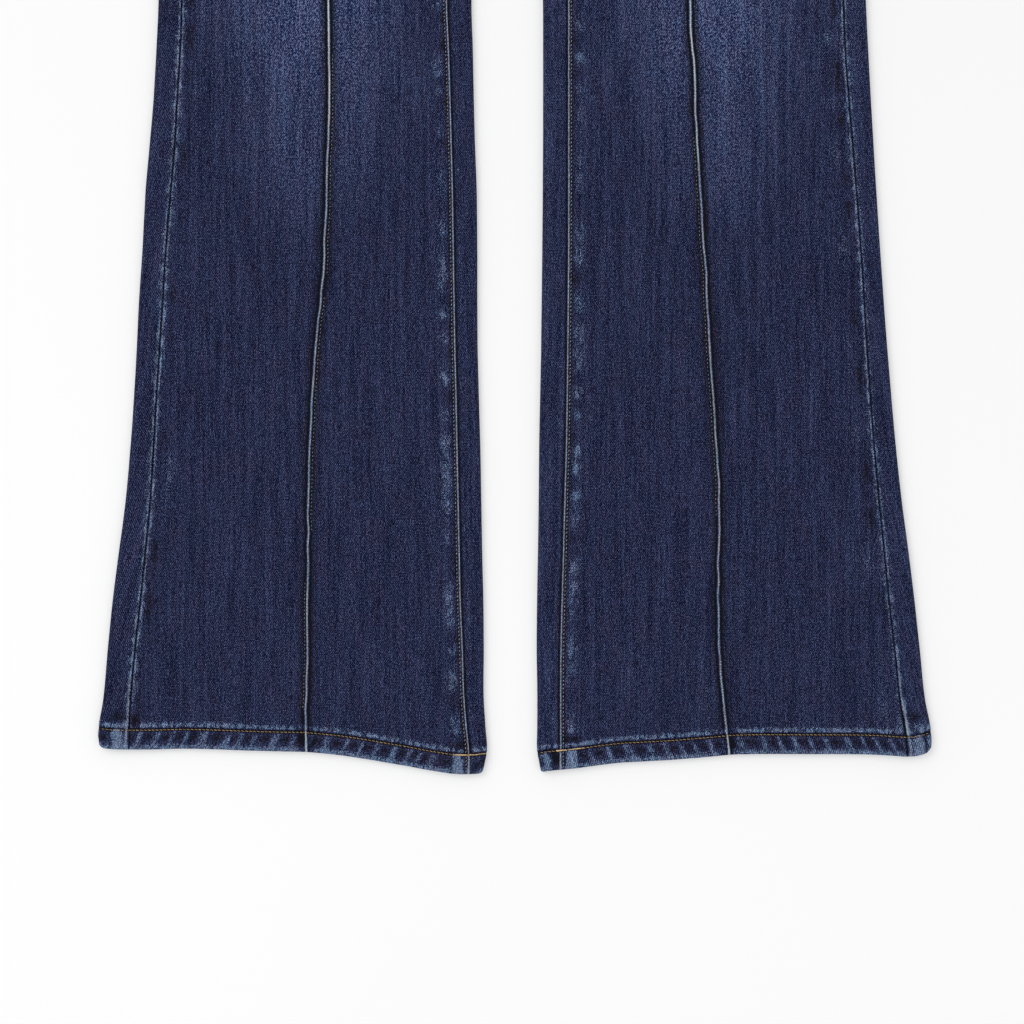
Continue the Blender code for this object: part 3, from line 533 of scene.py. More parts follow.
# Soft creases, one by one: distance out, height, length, width, degrees from the leg's line, and depth,
# above 0 for a ridge and below 0 for a trough. CREASE_BOW is how far they bend.
CREASE_BOW = 0.108
Crease = namedtuple("Crease", "side distance height length width turn depth")
FRONT_CREASES = (
    Crease(-1, 0.215, 0.455, 0.0420, 0.0065, 4.0, 0.00022),
    Crease(-1, 0.098, 0.395, 0.0620, 0.0060, -3.0, 0.00024),
    Crease(-1, 0.185, 0.250, 0.0700, 0.0070, 3.0, -0.00022),
    Crease(-1, 0.085, 0.130, 0.0500, 0.0080, -6.0, 0.00022),
    Crease(-1, 0.205, 0.090, 0.0380, 0.0070, 8.0, -0.00018),
    Crease(1, 0.088, 0.470, 0.0520, 0.0060, -5.0, 0.00022),
    Crease(1, 0.190, 0.380, 0.0640, 0.0070, 4.0, -0.00022),
    Crease(1, 0.170, 0.215, 0.0580, 0.0060, 2.0, 0.00024),
    Crease(1, 0.082, 0.110, 0.0420, 0.0075, -7.0, -0.00020),
    Crease(1, 0.222, 0.120, 0.0400, 0.0065, 7.0, 0.00020),
    Crease(-1, 0.045, 0.800, 0.0380, 0.0060, -62.0, 0.00075),
    Crease(-1, 0.060, 0.772, 0.0460, 0.0070, -74.0, -0.00055),
    Crease(-1, 0.070, 0.740, 0.0400, 0.0065, -84.0, 0.00060),
    Crease(1, 0.050, 0.806, 0.0420, 0.0065, -60.0, 0.00070),
    Crease(1, 0.062, 0.776, 0.0400, 0.0060, -76.0, -0.00050),
    Crease(1, 0.074, 0.748, 0.0440, 0.0070, -86.0, 0.00055),
    Crease(-1, 0.150, 0.905, 0.0500, 0.0080, 78.0, 0.00050),
    Crease(-1, 0.165, 0.878, 0.0420, 0.0070, 84.0, -0.00040),
    Crease(1, 0.148, 0.912, 0.0460, 0.0080, 76.0, 0.00050),
    Crease(1, 0.168, 0.884, 0.0520, 0.0070, 82.0, -0.00040),
    Crease(-1, 0.160, 0.610, 0.0600, 0.0080, 12.0, 0.00035),
    Crease(1, 0.080, 0.640, 0.0660, 0.0080, -10.0, 0.00035),
)
BACK_CREASES = (
    Crease(-1, 0.120, 0.470, 0.0420, 0.0070, 80.0, -0.00040),
    Crease(-1, 0.150, 0.440, 0.0380, 0.0060, 74.0, -0.00035),
    Crease(1, 0.118, 0.478, 0.0440, 0.0070, 100.0, -0.00040),
    Crease(1, 0.146, 0.446, 0.0360, 0.0060, 104.0, -0.00035),
    Crease(-1, 0.070, 0.790, 0.0480, 0.0080, -58.0, -0.00060),
    Crease(-1, 0.095, 0.765, 0.0500, 0.0070, -66.0, -0.00045),
    Crease(1, 0.072, 0.796, 0.0460, 0.0080, -56.0, -0.00060),
    Crease(1, 0.098, 0.770, 0.0520, 0.0070, -64.0, -0.00045),
    Crease(-1, 0.170, 0.250, 0.0600, 0.0080, 6.0, -0.00025),
    Crease(1, 0.090, 0.230, 0.0600, 0.0080, -5.0, -0.00025),
    Crease(-1, 0.100, 0.620, 0.0600, 0.0080, 10.0, -0.00025),
    Crease(1, 0.160, 0.600, 0.0600, 0.0080, -8.0, -0.00025),
)

# The fields for what a piece was cut to, with its seam allowances: greatest width and length, and the area of
# the shape. No piece is given them here.
Cut = namedtuple("Cut", "width length area")


def colour_property(name, description, default):
    """A colour for a property group."""
    return bpy.props.FloatVectorProperty(name=name, description=description, subtype="COLOR", default=default)


def length_property(name, description, default):
    """A length for a property group."""
    return bpy.props.FloatProperty(name=name, description=description, unit="LENGTH", default=default)


class JeansDenim(bpy.types.PropertyGroup):
    """Colours and weave of the denim."""

    deep: colour_property("Deep indigo", "Darkest yarn", (0.0012, 0.0018, 0.0138))
    indigo: colour_property("Indigo", "Lightest yarn of unfaded cloth", (0.0710, 0.0835, 0.1850))
    faded: colour_property("Faded indigo", "Lightest yarn where the cloth is sanded", (0.158, 0.200, 0.365))
    rubbed: colour_property("Rubbed blue", "Raised edges that are rubbed light", (0.265, 0.370, 0.620))
    # The darkest colour: dye left unwashed in creases, and painted shade in the grooves, steps, gaps and
    # hollows beside seams.
    unwashed_dye_and_shade: colour_property("Unwashed", "Creases that kept their dye", (0.0068, 0.0068, 0.0130))
    cotton: colour_property("Bare cotton", "Yarn bleached through", (0.66, 0.68, 0.66))
    end: length_property("Warp spacing", "From one warp yarn to the next", 0.00036)
    pick: length_property("Weft spacing", "From one weft yarn to the next", 0.00050)


class JeansSewing(bpy.types.PropertyGroup):
    """Sizes and colours of the thread."""

    stitch: length_property("Stitch length", "From one needle hole to the next", 0.00265)
    thread: length_property("Thread radius", "Half the thread's thickness", 0.00030)
    gold: colour_property("Gold thread", "Hems, pockets and waistband", (0.54, 0.37, 0.17))
    sand: colour_property("Sand thread", "Inseams and pintucks", (0.48, 0.42, 0.34))
    tack: colour_property("Tack thread", "The tacks on the hems", (0.95, 0.68, 0.38))


class JeansStudio(bpy.types.PropertyGroup):
    """Floor, light and camera."""

    floor: colour_property("Floor", "Colour of the floor", (0.655, 0.655, 0.655))
    glow: bpy.props.FloatProperty(name="Glow", description="Light that the floor gives off", default=0.30)
    sky: bpy.props.FloatProperty(name="Sky", description="Strength of the even light", default=0.86)
    key: bpy.props.FloatProperty(
        name="Key", description="Power of the soft light at the left", unit="POWER", default=34.0
    )
    camera_height: length_property("Camera height", "From the floor to the camera", 2.004)


# Curves

WANDER_SIZE = 128


def smooth(at, places, values):
    """The values at the places, joined by a smooth curve (a cubic through each pair, with the slopes that the
    neighbours give), read at each of the numbers in at."""
    places = np.asarray(places, float)
    values = np.asarray(values, float)
    slopes = np.gradient(values, places)
    at = np.clip(at, places[0], places[-1])
    left = np.clip(np.searchsorted(places, at) - 1, 0, len(places) - 2)
    width = places[left + 1] - places[left]
    share = (at - places[left]) / width
    rest = 1.0 - share
    start = values[left] * (1.0 + 2.0 * share) * rest**2 + slopes[left] * width * share * rest**2
    end = values[left + 1] * share**2 * (3.0 - 2.0 * share) - slopes[left + 1] * width * share**2 * rest
    return start + end


def ease(value, start, end):
    """0 up to start, 1 from end on, and a smooth rise between: 3 times the share squared, less twice its
    cube."""
    share = np.clip((np.asarray(value, float) - start) / (end - start), 0.0, 1.0)
    return share * share * (3.0 - 2.0 * share)


def bell(value, centre, width):
    """1 at the centre, falling as a bell curve: e to the minus square of the distance over the width."""
    return np.exp(-(((value - centre) / width) ** 2))


def wander(seed, along, across=0.0):
    """Soft uneven numbers from -1 to 1: random values at whole coordinates, joined by smooth steps both ways.
    They repeat after WANDER_SIZE - 1 steps."""
    table = np.random.default_rng(seed).uniform(-1.0, 1.0, (WANDER_SIZE, WANDER_SIZE))
    along, across = np.broadcast_arrays(np.asarray(along, float), np.asarray(across, float))
    row, column = np.floor(along).astype(int), np.floor(across).astype(int)
    part, other = ease(along - row, 0.0, 1.0), ease(across - column, 0.0, 1.0)
    row, column = row % (WANDER_SIZE - 1), column % (WANDER_SIZE - 1)
    low = table[row, column] * (1.0 - part) + table[row + 1, column] * part
    high = table[row, column + 1] * (1.0 - part) + table[row + 1, column + 1] * part
    return low * (1.0 - other) + high * other


def puckers(seed, along, pitch):
    """Rises (1) and dips (-1) along a seam: a sine whose pace and height both wander."""
    phase = along / pitch + 0.65 * wander(seed, along / (1.6 * pitch))
    height = np.clip(0.75 + 0.75 * wander(seed + 1, along / (2.6 * pitch)), 0.0, 1.0)
    ripple = 0.45 * wander(seed + 2, along / (0.55 * pitch))
    return np.clip(height * np.sin(2.0 * math.pi * phase) + ripple, -1.0, 1.0)


def bands(table, distance, wave):
    """A table's wear and painted shade at a distance from its seam: for each band a bell curve across it,
    held on or between the puckers where the band says so, times what the band does. Gives the rubbing and
    darkening, patchy, pale and rise."""
    total = 0.0
    for band in table:
        share = np.clip(0.1 + 1.3 * band.on * wave, 0.0, 1.0) if band.on else 1.0
        there = bell(distance, band.centre, band.width) * share
        total = total + np.stack([there * value for value in (band.worn, band.patchy, band.pale, band.rise)])
    return total


Seam = namedtuple("Seam", "table distance wave share", defaults=(0.0, 1.0))


def wear_and_shade_of(*seams):
    """The wear and painted shade of several seams together: each one's bands, times its share."""
    return sum(bands(seam.table, seam.distance, seam.wave) * seam.share for seam in seams)


def patched(table, seed, pitch, height):
    """A seam's puckers: those of the table, each a bell curve along it, and others of their kind above
    them."""
    total = 0.0 * height
    for patch in table:
        total = total + patch.strength * bell(height, patch.height, PATCH_SPREAD * patch.length)
    share = ease(height, *PATCHES_END)
    return np.clip(total, -1.0, 1.0) * (1.0 - share) + 0.8 * puckers(seed, height, pitch) * share


def by_outseam(side, height, front):
    """How strongly one side of the outseam is rubbed at a height: the table's curve, beaded by puckers."""
    table = RIGHT_OUTSEAM_SIDES if side < 0 else LEFT_OUTSEAM_SIDES
    strengths = [row.front if front else row.back for row in table]
    strength = smooth(height, [row.height for row in table], strengths)
    beads = puckers(140 + 40 * side + 20 * front, height, OUTSEAM_PITCH)
    near = 1.0 + 0.5 * (1.0 - ease(height, 0.03, 0.10))
    return np.clip(strength * near * (0.90 + 0.40 * beads), 0.0, 1.7)


def hollows(side, distance, height):
    """How dark the cloth is in the hollows by the hem, partly unwashed dye and partly painted shade, and how
    light
    on the humps: bell curves both ways.
    """
    total = 0.0 * distance
    for hollow in HOLLOWS:
        if hollow.side == side:
            out = (distance - hollow.distance) / hollow.half_width
            up = (height - hollow.height) / hollow.half_height
            total = total + hollow.strength * np.exp(-((out**2 + up**2) ** 1.5))
    return total


def creases(table, side, distance, height):
    """The relief of the creases on one side: for each, a bell curve along it times a bell curve across it."""
    total = 0.0 * distance
    for crease in table:
        if crease.side == side:
            turn = math.radians(crease.turn)
            out, up = distance - crease.distance, height - crease.height
            along = up * math.cos(turn) + out * math.sin(turn)
            across = out * math.cos(turn) - up * math.sin(turn)
            bow = across + CREASE_BOW * along**2 / crease.length
            total = total + crease.depth * bell(along, 0.0, crease.length) * bell(bow, 0.0, crease.width)
    return total


def fade(table, height, from_centre):
    """How far the cloth is sanded: the table's strength at the height, times a bell curve across the leg."""
    places = [row.height for row in table]
    half_width = smooth(height, places, [row.half_width for row in table])
    return smooth(height, places, [row.strength for row in table]) * bell(from_centre, 0.0, half_width)


# Where each seam and edge lies


def sections(side):
    """One side's sections, hem to waist, as distances out from X = 0."""
    shift = side * SEAT_CENTRE
    upper = [Section(row.height, *(value + shift for value in row[1:])) for row in SEAT]
    return (RIGHT_LEG if side < 0 else LEFT_LEG) + tuple(upper)


def across(side, name, height):
    """The distance out from X = 0 of one of the section's places, at each height."""
    rows = sections(side)
    curve = smooth(height, [row.height for row in rows], [getattr(row, name) for row in rows])
    return np.maximum(curve, side * SEAT_CENTRE + GAP / 2)


def lift(height):
    """How far the seat's underside is raised, for the pockets that lie beneath it."""
    return SEAT_LIFT * ease(height, *LIFT_HEIGHTS)


def hem_line(side, distance):
    """The height of a hem's lower edge."""
    rows = RIGHT_HEM if side < 0 else LEFT_HEM
    return smooth(distance, [row.across for row in rows], [row.rise for row in rows])


def near_hem(side, height, distance):
    """A nominal height moved to follow the hem, less and less up the leg."""
    return height + hem_line(side, distance) * (1.0 - ease(height, PANEL_START, HEM_BLEND))


def waist_curve(side, distance, middle):
    """How far the waist seam lies above its height at the sides: a parabola with its value at the middle."""
    share = np.clip((distance - side * SEAT_CENTRE) / WAIST_HALF_WIDTH, -1.0, 1.0)
    return middle * (1.0 - share**2)


def near_waist(side, height, distance):
    """A nominal height on the front moved to follow the waist seam, less and less down the seat."""
    share = ease(height, WAIST_SEAM - WAIST_BLEND, WAIST_SEAM)
    return height + waist_curve(side, distance, FRONT_DIP) * share


def yoke_seam(side, distance):
    """The height of the seam between a back panel and its yoke: a straight line out from the centre."""
    return YOKE_CENTRE + (YOKE_SIDE - YOKE_CENTRE) * (distance - side * SEAT_CENTRE) / YOKE_HALF_WIDTH


def pocket_scoop(height):
    """How far the front's edge is cut back from the outseam at the pocket: a quarter of an ellipse."""
    share = np.clip((height - POCKET_LOW) / (WAIST_SEAM - POCKET_LOW), 0.0, 1.0)
    return POCKET_REACH * np.sqrt(1.0 - (1.0 - share) ** 2)


def from_scoop(side, nominal, distance):
    """The distance from the pocket's edge, above 0 on the front and below 0 in the opening: the ellipse's own
    measure, less 1, over its slope."""
    out = np.maximum(across(side, "outseam", nominal) - distance, 0.0)
    up = np.maximum(WAIST_SEAM - nominal, 0.0)
    tall = WAIST_SEAM - POCKET_LOW
    measure = np.sqrt((out / POCKET_REACH) ** 2 + (up / tall) ** 2) + 1e-6
    slope = np.sqrt((out / POCKET_REACH**2) ** 2 + (up / tall**2) ** 2) / measure + 1e-6
    return (measure - 1.0) / slope


def front_lines(side, height):
    """The front's outer edge, pintuck and inner edge, out from X = 0."""
    outer = across(side, "outseam", height) - GAP / 2 - pocket_scoop(height)
    sway = 0.00040 * wander(31 + side, height / 0.011) + 0.00040 * wander(35 + side, height / 0.028)
    tuck = across(side, "tuck", height) + sway * ease(height, 0.02, 0.04)
    lap = FLY_LAP * ease(height, FLY_HEIGHTS[1], FLY_HEIGHTS[2]) if side > 0 else 0.0
    return outer, tuck, across(side, "inseam", height) + GAP / 2 - lap


def front_top(side, height, distance):
    """The height of the front's outside, with no relief: high by its edges, low between them."""
    outer, _, inner = front_lines(side, height)
    middle = 2 * CLOTH + INNER_ROOM + lift(height)
    middle = middle + HEM_RISE * (1.0 - ease(height, HEM_DEPTH, 0.070))
    middle = middle + WAIST_RISE * ease(height, WAIST_SEAM - WAIST_BLEND, WAIST_SEAM)
    at_outer = 2 * FOLD_RADIUS + SEAM_STEP + lift(height)
    scooped = ease(pocket_scoop(height), 0.0, POCKET_REACH / 2)
    at_outer = at_outer + (POCKET_EDGE + SEAT_LIFT - at_outer) * scooped
    plain = np.interp(height, [row.height for row in CROTCH], [row.edge_top for row in CROTCH])
    fly = FLY_TOP if side > 0 else FLY_UNDER
    at_inner = plain + (fly - plain) * ease(height, FLY_HEIGHTS[0], FLY_HEIGHTS[1]) + lift(height)
    near_outer = 1.0 - ease(outer - distance, 0.0, FRONT_SLOPE)
    near_inner = 1.0 - ease(distance - inner, 0.0, FRONT_SLOPE)
    return middle + (at_outer - middle) * near_outer + (at_inner - middle) * near_inner


# Grids


def point_grid(side, distance, height, up):
    """Points from distances out from X = 0, heights along the leg, and heights above the surface."""
    distance, height, up = np.broadcast_arrays(distance, height, up)
    return np.stack([side * distance + MIDDLE, height - LENGTH / 2, up], axis=-1)


def rows_between(low, high):
    """Row heights from low to high, closest together beside the hem, and closer below the knee than above."""
    start = low + NEAR[-2]
    lower = np.linspace(start, KNEE, round((KNEE - start) / ROW_STEP), endpoint=False)
    upper = np.linspace(KNEE, high, round((high - KNEE) / UPPER_ROW_STEP))
    return np.concatenate([[low], low + np.array(NEAR[:-2]), lower, upper])


def closer_at(rows, end):
    """The same rows with the NEAR offsets beside their last one, in place of the even ones there."""
    return np.concatenate([rows[rows < end - 1.1 * NEAR[-1]], end - np.array(NEAR)[::-1], [end]])


def spread(counts):
    """The columns between neighbouring lines: for each its gap's number, its share of the gap, and an
    offset that is added to it. Columns lie at the NEAR offsets beside both lines, with evenly spaced ones
    between."""
    gap, share, offset = [], [], []
    for number, count in enumerate(counts):
        even = np.linspace(0.0, 1.0, count + 2)[1:-1]
        share += [0.0, *[0.0 for _ in NEAR], *even, *[1.0 for _ in NEAR]]
        offset += [0.0, *NEAR, *(NEAR[-1] * (1.0 - 2.0 * even)), *[-near for near in reversed(NEAR)]]
        gap += [number] * (1 + 2 * len(NEAR) + count)
    return np.array(gap + [len(counts) - 1]), np.array(share + [1.0]), np.array(offset + [0.0])


def placed(lines, columns):
    """The distance of each column: its share of the way between its two lines, plus its offset, which shrinks
    where the lines are close."""
    gap, share, offset = columns
    lines = np.stack(np.broadcast_arrays(*lines))
    if lines.ndim == 3 and lines.shape[2] == 1:
        lines = np.repeat(lines, len(gap), axis=2)
    number = np.arange(len(gap))
    start, end = lines[gap, :, number].T, lines[gap + 1, :, number].T
    room = np.abs(end - start)
    shrink = np.minimum(1.0, 0.42 * room / NEAR[-1])
    return start + (end - start) * share + np.sign(end - start) * offset * shrink


def arc(points):
    """The length along each row of a grid, from its first column."""
    steps = np.linalg.norm(np.diff(points, axis=1), axis=2)
    return np.concatenate([np.zeros((len(points), 1)), np.cumsum(steps, axis=1)], axis=1)


def rolled(distance, thickness):
    """How far an edge's outside is drawn in: a quarter round with half the wall's thickness as its radius."""
    radius = thickness / 2
    share = np.clip(1.0 - distance / radius, 0.0, 1.0)
    return radius * (1.0 - np.sqrt(1.0 - share**2))


# Cloth

# marks are distances from a piece's edges, which its rows of stitches follow.
Cloth = namedtuple("Cloth", "outer inner pattern worn patchy pale faded marks", defaults=({},))

FRONT_COUNTS = (26, 26)
# The heights between which a leg gives way to the seat, the wear at a seam's foot ends and the thigh fades.
LEG_ENDS = {"front": (0.770, 0.800), "back": (0.740, 0.800)}
FOOT_ENDS = (0.030, 0.062)
THIGH_FADE = (0.35, 0.55)


def leg_share(panel, height):
    """1 on a panel's leg, 0 on its seat."""
    return 1.0 - ease(height, *LEG_ENDS[panel])


def drifted(seed, along, height):
    """A height moved a little up or down, so that puckers have uneven outlines."""
    return height + 0.0012 * wander(seed, along / 0.008, height / 0.008)


# How far a front swells beside its seams, and the distances between which that fades out.
Swell = namedtuple("Swell", "rise start end")
INSEAM_SWELL = Swell(0.00050, 0.0042, 0.0100)
OUTSEAM_SWELL = Swell(0.00025, 0.0060, 0.0140)

# The sanded fade's middle lies this far outside the pintuck, whose foot it leaves darker.
FADE_ASIDE = 0.012


def swollen(swell, distance):
    """The relief of a swell at a distance from its seam."""
    return swell.rise * (1.0 - ease(distance, swell.start, swell.end))


def tuck_bleach(seed, height):
    """How strongly the pintuck's ridge is bleached: unevenly, and most from the knee to the thigh."""
    bleach = 0.62 + 0.55 * ease(height, 0.380, 0.500) + 0.18 * wander(seed, height / 0.012)
    return bleach - 0.30 * ease(height, 0.600, 0.800)


def centre_seam(side, distance, seed, along, share=1.0):
    """The seat's centre seam: felled on the left side, a plain edge on the right."""
    if side > 0:
        return Seam(FELLED, distance, puckers(seed, along, BAND_PITCH), share)
    return Seam(PLAIN_EDGE, distance, share=share)


def front_rows(side):
    """The heights of a front's rows, even round the pocket's quarter ellipse and close at the waist seam, and
    what gives each row's places."""
    turn = np.linspace(0.0, math.pi / 2, SCOOP_ROWS)
    top = POCKET_LOW + (WAIST_SEAM - POCKET_LOW) * (1.0 - np.cos(turn))
    nominal = np.concatenate([rows_between(PANEL_START, POCKET_LOW)[:-1], top])
    columns = spread(FRONT_COUNTS)
    return closer_at(nominal, WAIST_SEAM)[:, None], lambda height: placed(front_lines(side, height), columns)


def front_cloth(side, nominal=None, placing=None):
    """A front panel: the height of its outside over the garment's plan, with the pintuck's half round ridge,
    the bands of its seams and its creases added. placing gives the distances at each height: the panel's
    columns, or one line that thread follows."""
    if nominal is None:
        nominal, placing = front_rows(side)
    distance = placing(nominal)
    height = near_waist(side, near_hem(side, nominal, distance), distance)
    there = np.where(nominal < POCKET_LOW, height, nominal)
    distance = placing(there)
    outer, tuck, inner = front_lines(side, there)
    from_tuck = np.abs(distance - tuck)
    seed = 100 + 40 * side
    below = 1.0 - ease(nominal, POCKET_LOW - 0.004, POCKET_LOW)
    leg = leg_share("front", nominal)
    along = drifted(seed + 9, distance, height)
    inseam_patches = RIGHT_INSEAM_PATCHES if side < 0 else LEFT_INSEAM_PATCHES
    outseam_patches = RIGHT_OUTSEAM_PATCHES if side < 0 else LEFT_OUTSEAM_PATCHES
    inseam_puckers = patched(inseam_patches, seed + 3, INSEAM_PITCH, along)
    outseam_puckers = patched(outseam_patches, seed, BLOT_PITCH, along)
    to_outer, to_inner = outer - distance, distance - inner
    scoop = np.where(nominal > POCKET_LOW - 0.03, from_scoop(side, nominal, distance), 1.0)
    worn, patchy, pale, rise = wear_and_shade_of(
        Seam(SEAM_GROOVE, to_outer, share=below),
        Seam(SEAM_RIDGE, to_outer, share=by_outseam(side, height, True) * below),
        Seam(SEAM_FOOT[:1], to_outer, share=(0.5 + 0.5 * side) * (1.0 - ease(height, *FOOT_ENDS))),
        Seam(SEAM_BLOTS, to_outer, outseam_puckers, below),
        Seam(INSEAM_FRONT, to_inner, inseam_puckers, leg),
        centre_seam(side, to_inner, seed + 6, along, 1.0 - leg),
        Seam(TUCK, from_tuck),
        Seam(ABOVE_HEM, height - hem_line(side, distance) - HEM_DEPTH),
        Seam(FELLED, scoop, puckers(seed + 15, height, BAND_PITCH)),
        Seam(PLAIN_EDGE, WAIST_SEAM - nominal + 0.0 * distance),
    )
    # The hollows by the hem: painted shade over unwashed dye, and the humps rubbed light.
    worn = worn - hollows(side, distance, height)
    ridge = TUCK_HEIGHT * np.sqrt(np.clip(1.0 - (from_tuck / (TUCK_FOOT / 2)) ** 2, 0.0, 1.0))
    by_edge = swollen(INSEAM_SWELL, to_inner) * leg + swollen(OUTSEAM_SWELL, to_outer) * below
    rise = rise + ridge + by_edge + creases(FRONT_CREASES, side, distance, height)
    rise = rise + 0.00012 * wander(seed + 21, distance / 0.022, height / 0.030)
    up = front_top(side, nominal, distance)
    pale = pale * np.where(from_tuck < 0.003, tuck_bleach(seed + 24, height), 1.0)
    outside = point_grid(side, distance, height, up + rise)
    inside = point_grid(side, distance, height, up - CLOTH)
    pattern = np.stack([side * distance, height + 0.0 * distance], axis=-1)
    faded = fade(FRONT_FADE, height, distance - tuck - FADE_ASIDE)
    faded = faded * (1.0 - 0.5 * bell(from_tuck, 0.0, 0.006))
    faded = faded + 0.10 * ease(height, *THIGH_FADE)
    marks = {"scoop": scoop, "inner": to_inner}
    return Cloth(outside, inside, pattern, worn, patchy, pale, faded, marks)


def curled_edge(side, name, seam, nominal, height_at, angle, back_of, outwards):
    """One curled edge of a back panel or yoke: a straight flap, then an arc with FOLD_RADIUS through the
    angle. back_of gives the distance back from the flap's free end. Gives points, normals and distances
    from the end."""
    height = nominal
    for _ in range(3):
        edge = across(side, name, height)
        flap = np.maximum(np.abs(edge - across(side, seam, height)) - FOLD_RADIUS - GAP / 2, EDGE_FLAP)
        bend = np.maximum(FOLD_RADIUS * angle / FOLD_STEPS, EDGE_SPACING) * FOLD_STEPS
        back = back_of(flap, bend)
        turned = np.clip(angle - (back - flap) / FOLD_RADIUS, 0.0, angle)
        straight = np.clip(flap - back, 0.0, None) - np.clip(back - flap - FOLD_RADIUS * angle, 0.0, None)
        out = FOLD_RADIUS * np.sin(turned) + np.cos(turned) * straight
        up = FOLD_RADIUS * (1.0 - np.cos(turned)) + np.sin(turned) * straight
        flat_reach = FOLD_RADIUS * np.sin(angle) + flap * np.cos(angle)
        reach = np.where(angle >= math.pi / 2, FOLD_RADIUS, flat_reach)
        distance = edge + outwards * (out - reach)
        height = height_at(distance)
    points = point_grid(side, distance, height, up + lift(nominal))
    normals = np.stack([side * outwards * np.sin(turned), 0.0 * turned, -np.cos(turned)], axis=-1)
    return points, np.broadcast_to(normals, points.shape), back


def curl_columns():
    """How far back from the free end each column of a curled edge is: shares of the flap, then of the
    bend."""
    on_flap = np.concatenate([FLAP_SHARES, np.ones(BEND_COLUMNS)])
    on_bend = np.concatenate([np.zeros(len(FLAP_SHARES)), np.linspace(0.0, 1.0, BEND_COLUMNS + 1)[1:]])
    return lambda flap, bend: flap * on_flap + bend * on_bend


def straight_grain(side, distance, along, height, folded, folded_in):
    """The weave's coordinates on a panel that is folded over at its edges: its place on the underside,
    carried round each fold by the length along the cloth."""
    place = distance.copy()
    at_fold = (distance + along)[:, folded - 1, None]
    place[:, :folded] = at_fold - along[:, :folded]
    if folded_in:
        at_fold = (distance + along)[:, -folded_in, None]
        place[:, -folded_in:] = at_fold - along[:, -folded_in:]
    return np.stack([side * place, height], axis=-1)


def back_cloth(side):
    """A back panel: its outer flap and fold, the underside, and its inner fold and flap, with its relief
    added along the normals. On the underside relief only goes inwards, so that it lies flat."""
    nominal = closer_at(rows_between(PANEL_START, YOKE_SIDE), YOKE_SIDE)[:, None]

    def height_at(distance):
        low = near_hem(side, nominal, distance)
        top = yoke_seam(side, distance) - GAP / 2
        share = (nominal - PANEL_TOP) / (YOKE_SIDE - PANEL_TOP)
        return np.where(nominal > PANEL_TOP, PANEL_TOP + (top - PANEL_TOP) * share, low)

    curl = np.radians(np.interp(nominal, [row.height for row in CROTCH], [row.curl for row in CROTCH]))
    back_of = curl_columns()
    flat = np.full_like(nominal, math.pi)
    outer = curled_edge(side, "outer", "outseam", nominal, height_at, flat, back_of, 1)
    inner = curled_edge(side, "inner", "inseam", nominal, height_at, curl, back_of, -1)
    inner = tuple(part[:, ::-1] for part in inner)
    share = np.linspace(0.0, 1.0, UNDERSIDE_COLUMNS + 2)[1:-1, None]
    under = outer[0][:, -1:] * (1.0 - share) + inner[0][:, :1] * share
    distance = side * (under[..., 0] - MIDDLE)
    under[..., 1] = height_at(distance) - LENGTH / 2
    down = np.broadcast_to(np.array((0.0, 0.0, -1.0)), under.shape)
    points = np.concatenate([outer[0], under, inner[0]], axis=1)
    normals = np.concatenate([outer[1], down, inner[1]], axis=1)
    along = arc(points)
    rest = along[:, -1:] - along
    distance = side * (points[..., 0] - MIDDLE)
    height = points[..., 1] + LENGTH / 2
    seed = 300 + 40 * side
    uneven = drifted(seed + 9, along, height)
    leg = leg_share("back", nominal)
    below_yoke = YOKE_SIDE - nominal + 0.0 * along
    worn, patchy, pale, rise = wear_and_shade_of(
        Seam(SEAM_GROOVE, along),
        Seam(SEAM_RIDGE, along, share=by_outseam(side, height, False)),
        Seam(SEAM_FOOT, along, share=(0.7 + 0.3 * side) * (1.0 - ease(height, *FOOT_ENDS))),
        Seam(INSEAM_BACK, rest, puckers(seed + 3, uneven, INSEAM_PITCH), leg),
        centre_seam(side, rest, seed + 6, uneven, 1.0 - leg),
        Seam(ABOVE_HEM, height - hem_line(side, distance) - HEM_DEPTH),
        Seam(FELLED, below_yoke, puckers(seed + 15, distance, BAND_PITCH)),
    )
    # The hollows by the hem: painted shade over unwashed dye, and the humps rubbed light.
    worn = worn - hollows(side, distance, height) * (normals[..., 2] > 0.0)
    worn = worn + 0.22 * np.abs(normals[..., 0]) ** 2
    rise = rise + creases(BACK_CREASES, side, distance, height) * (normals[..., 2] < -0.5)
    rise = rise + 0.00008 * wander(seed + 21, along / 0.016, height / 0.024)
    rise = np.where(points[..., 2] < FOLD_RADIUS, np.minimum(rise, 0.0), rise)
    faded = fade(BACK_FADE, height, distance - across(side, "tuck", height)) * (normals[..., 2] < 0.0)
    faded = faded + 0.10 * ease(height, *THIGH_FADE) + (0.12 + 0.10 * side) * (normals[..., 2] > 0.0)
    pattern = straight_grain(side, distance, along, height, outer[0].shape[1], inner[0].shape[1])
    outer = points + normals * rise[..., None]
    marks = {"yoke": below_yoke, "inner": rest}
    return Cloth(outer, points - normals * CLOTH, pattern, worn, patchy, pale, faded, marks)


YOKE_ROWS = 10


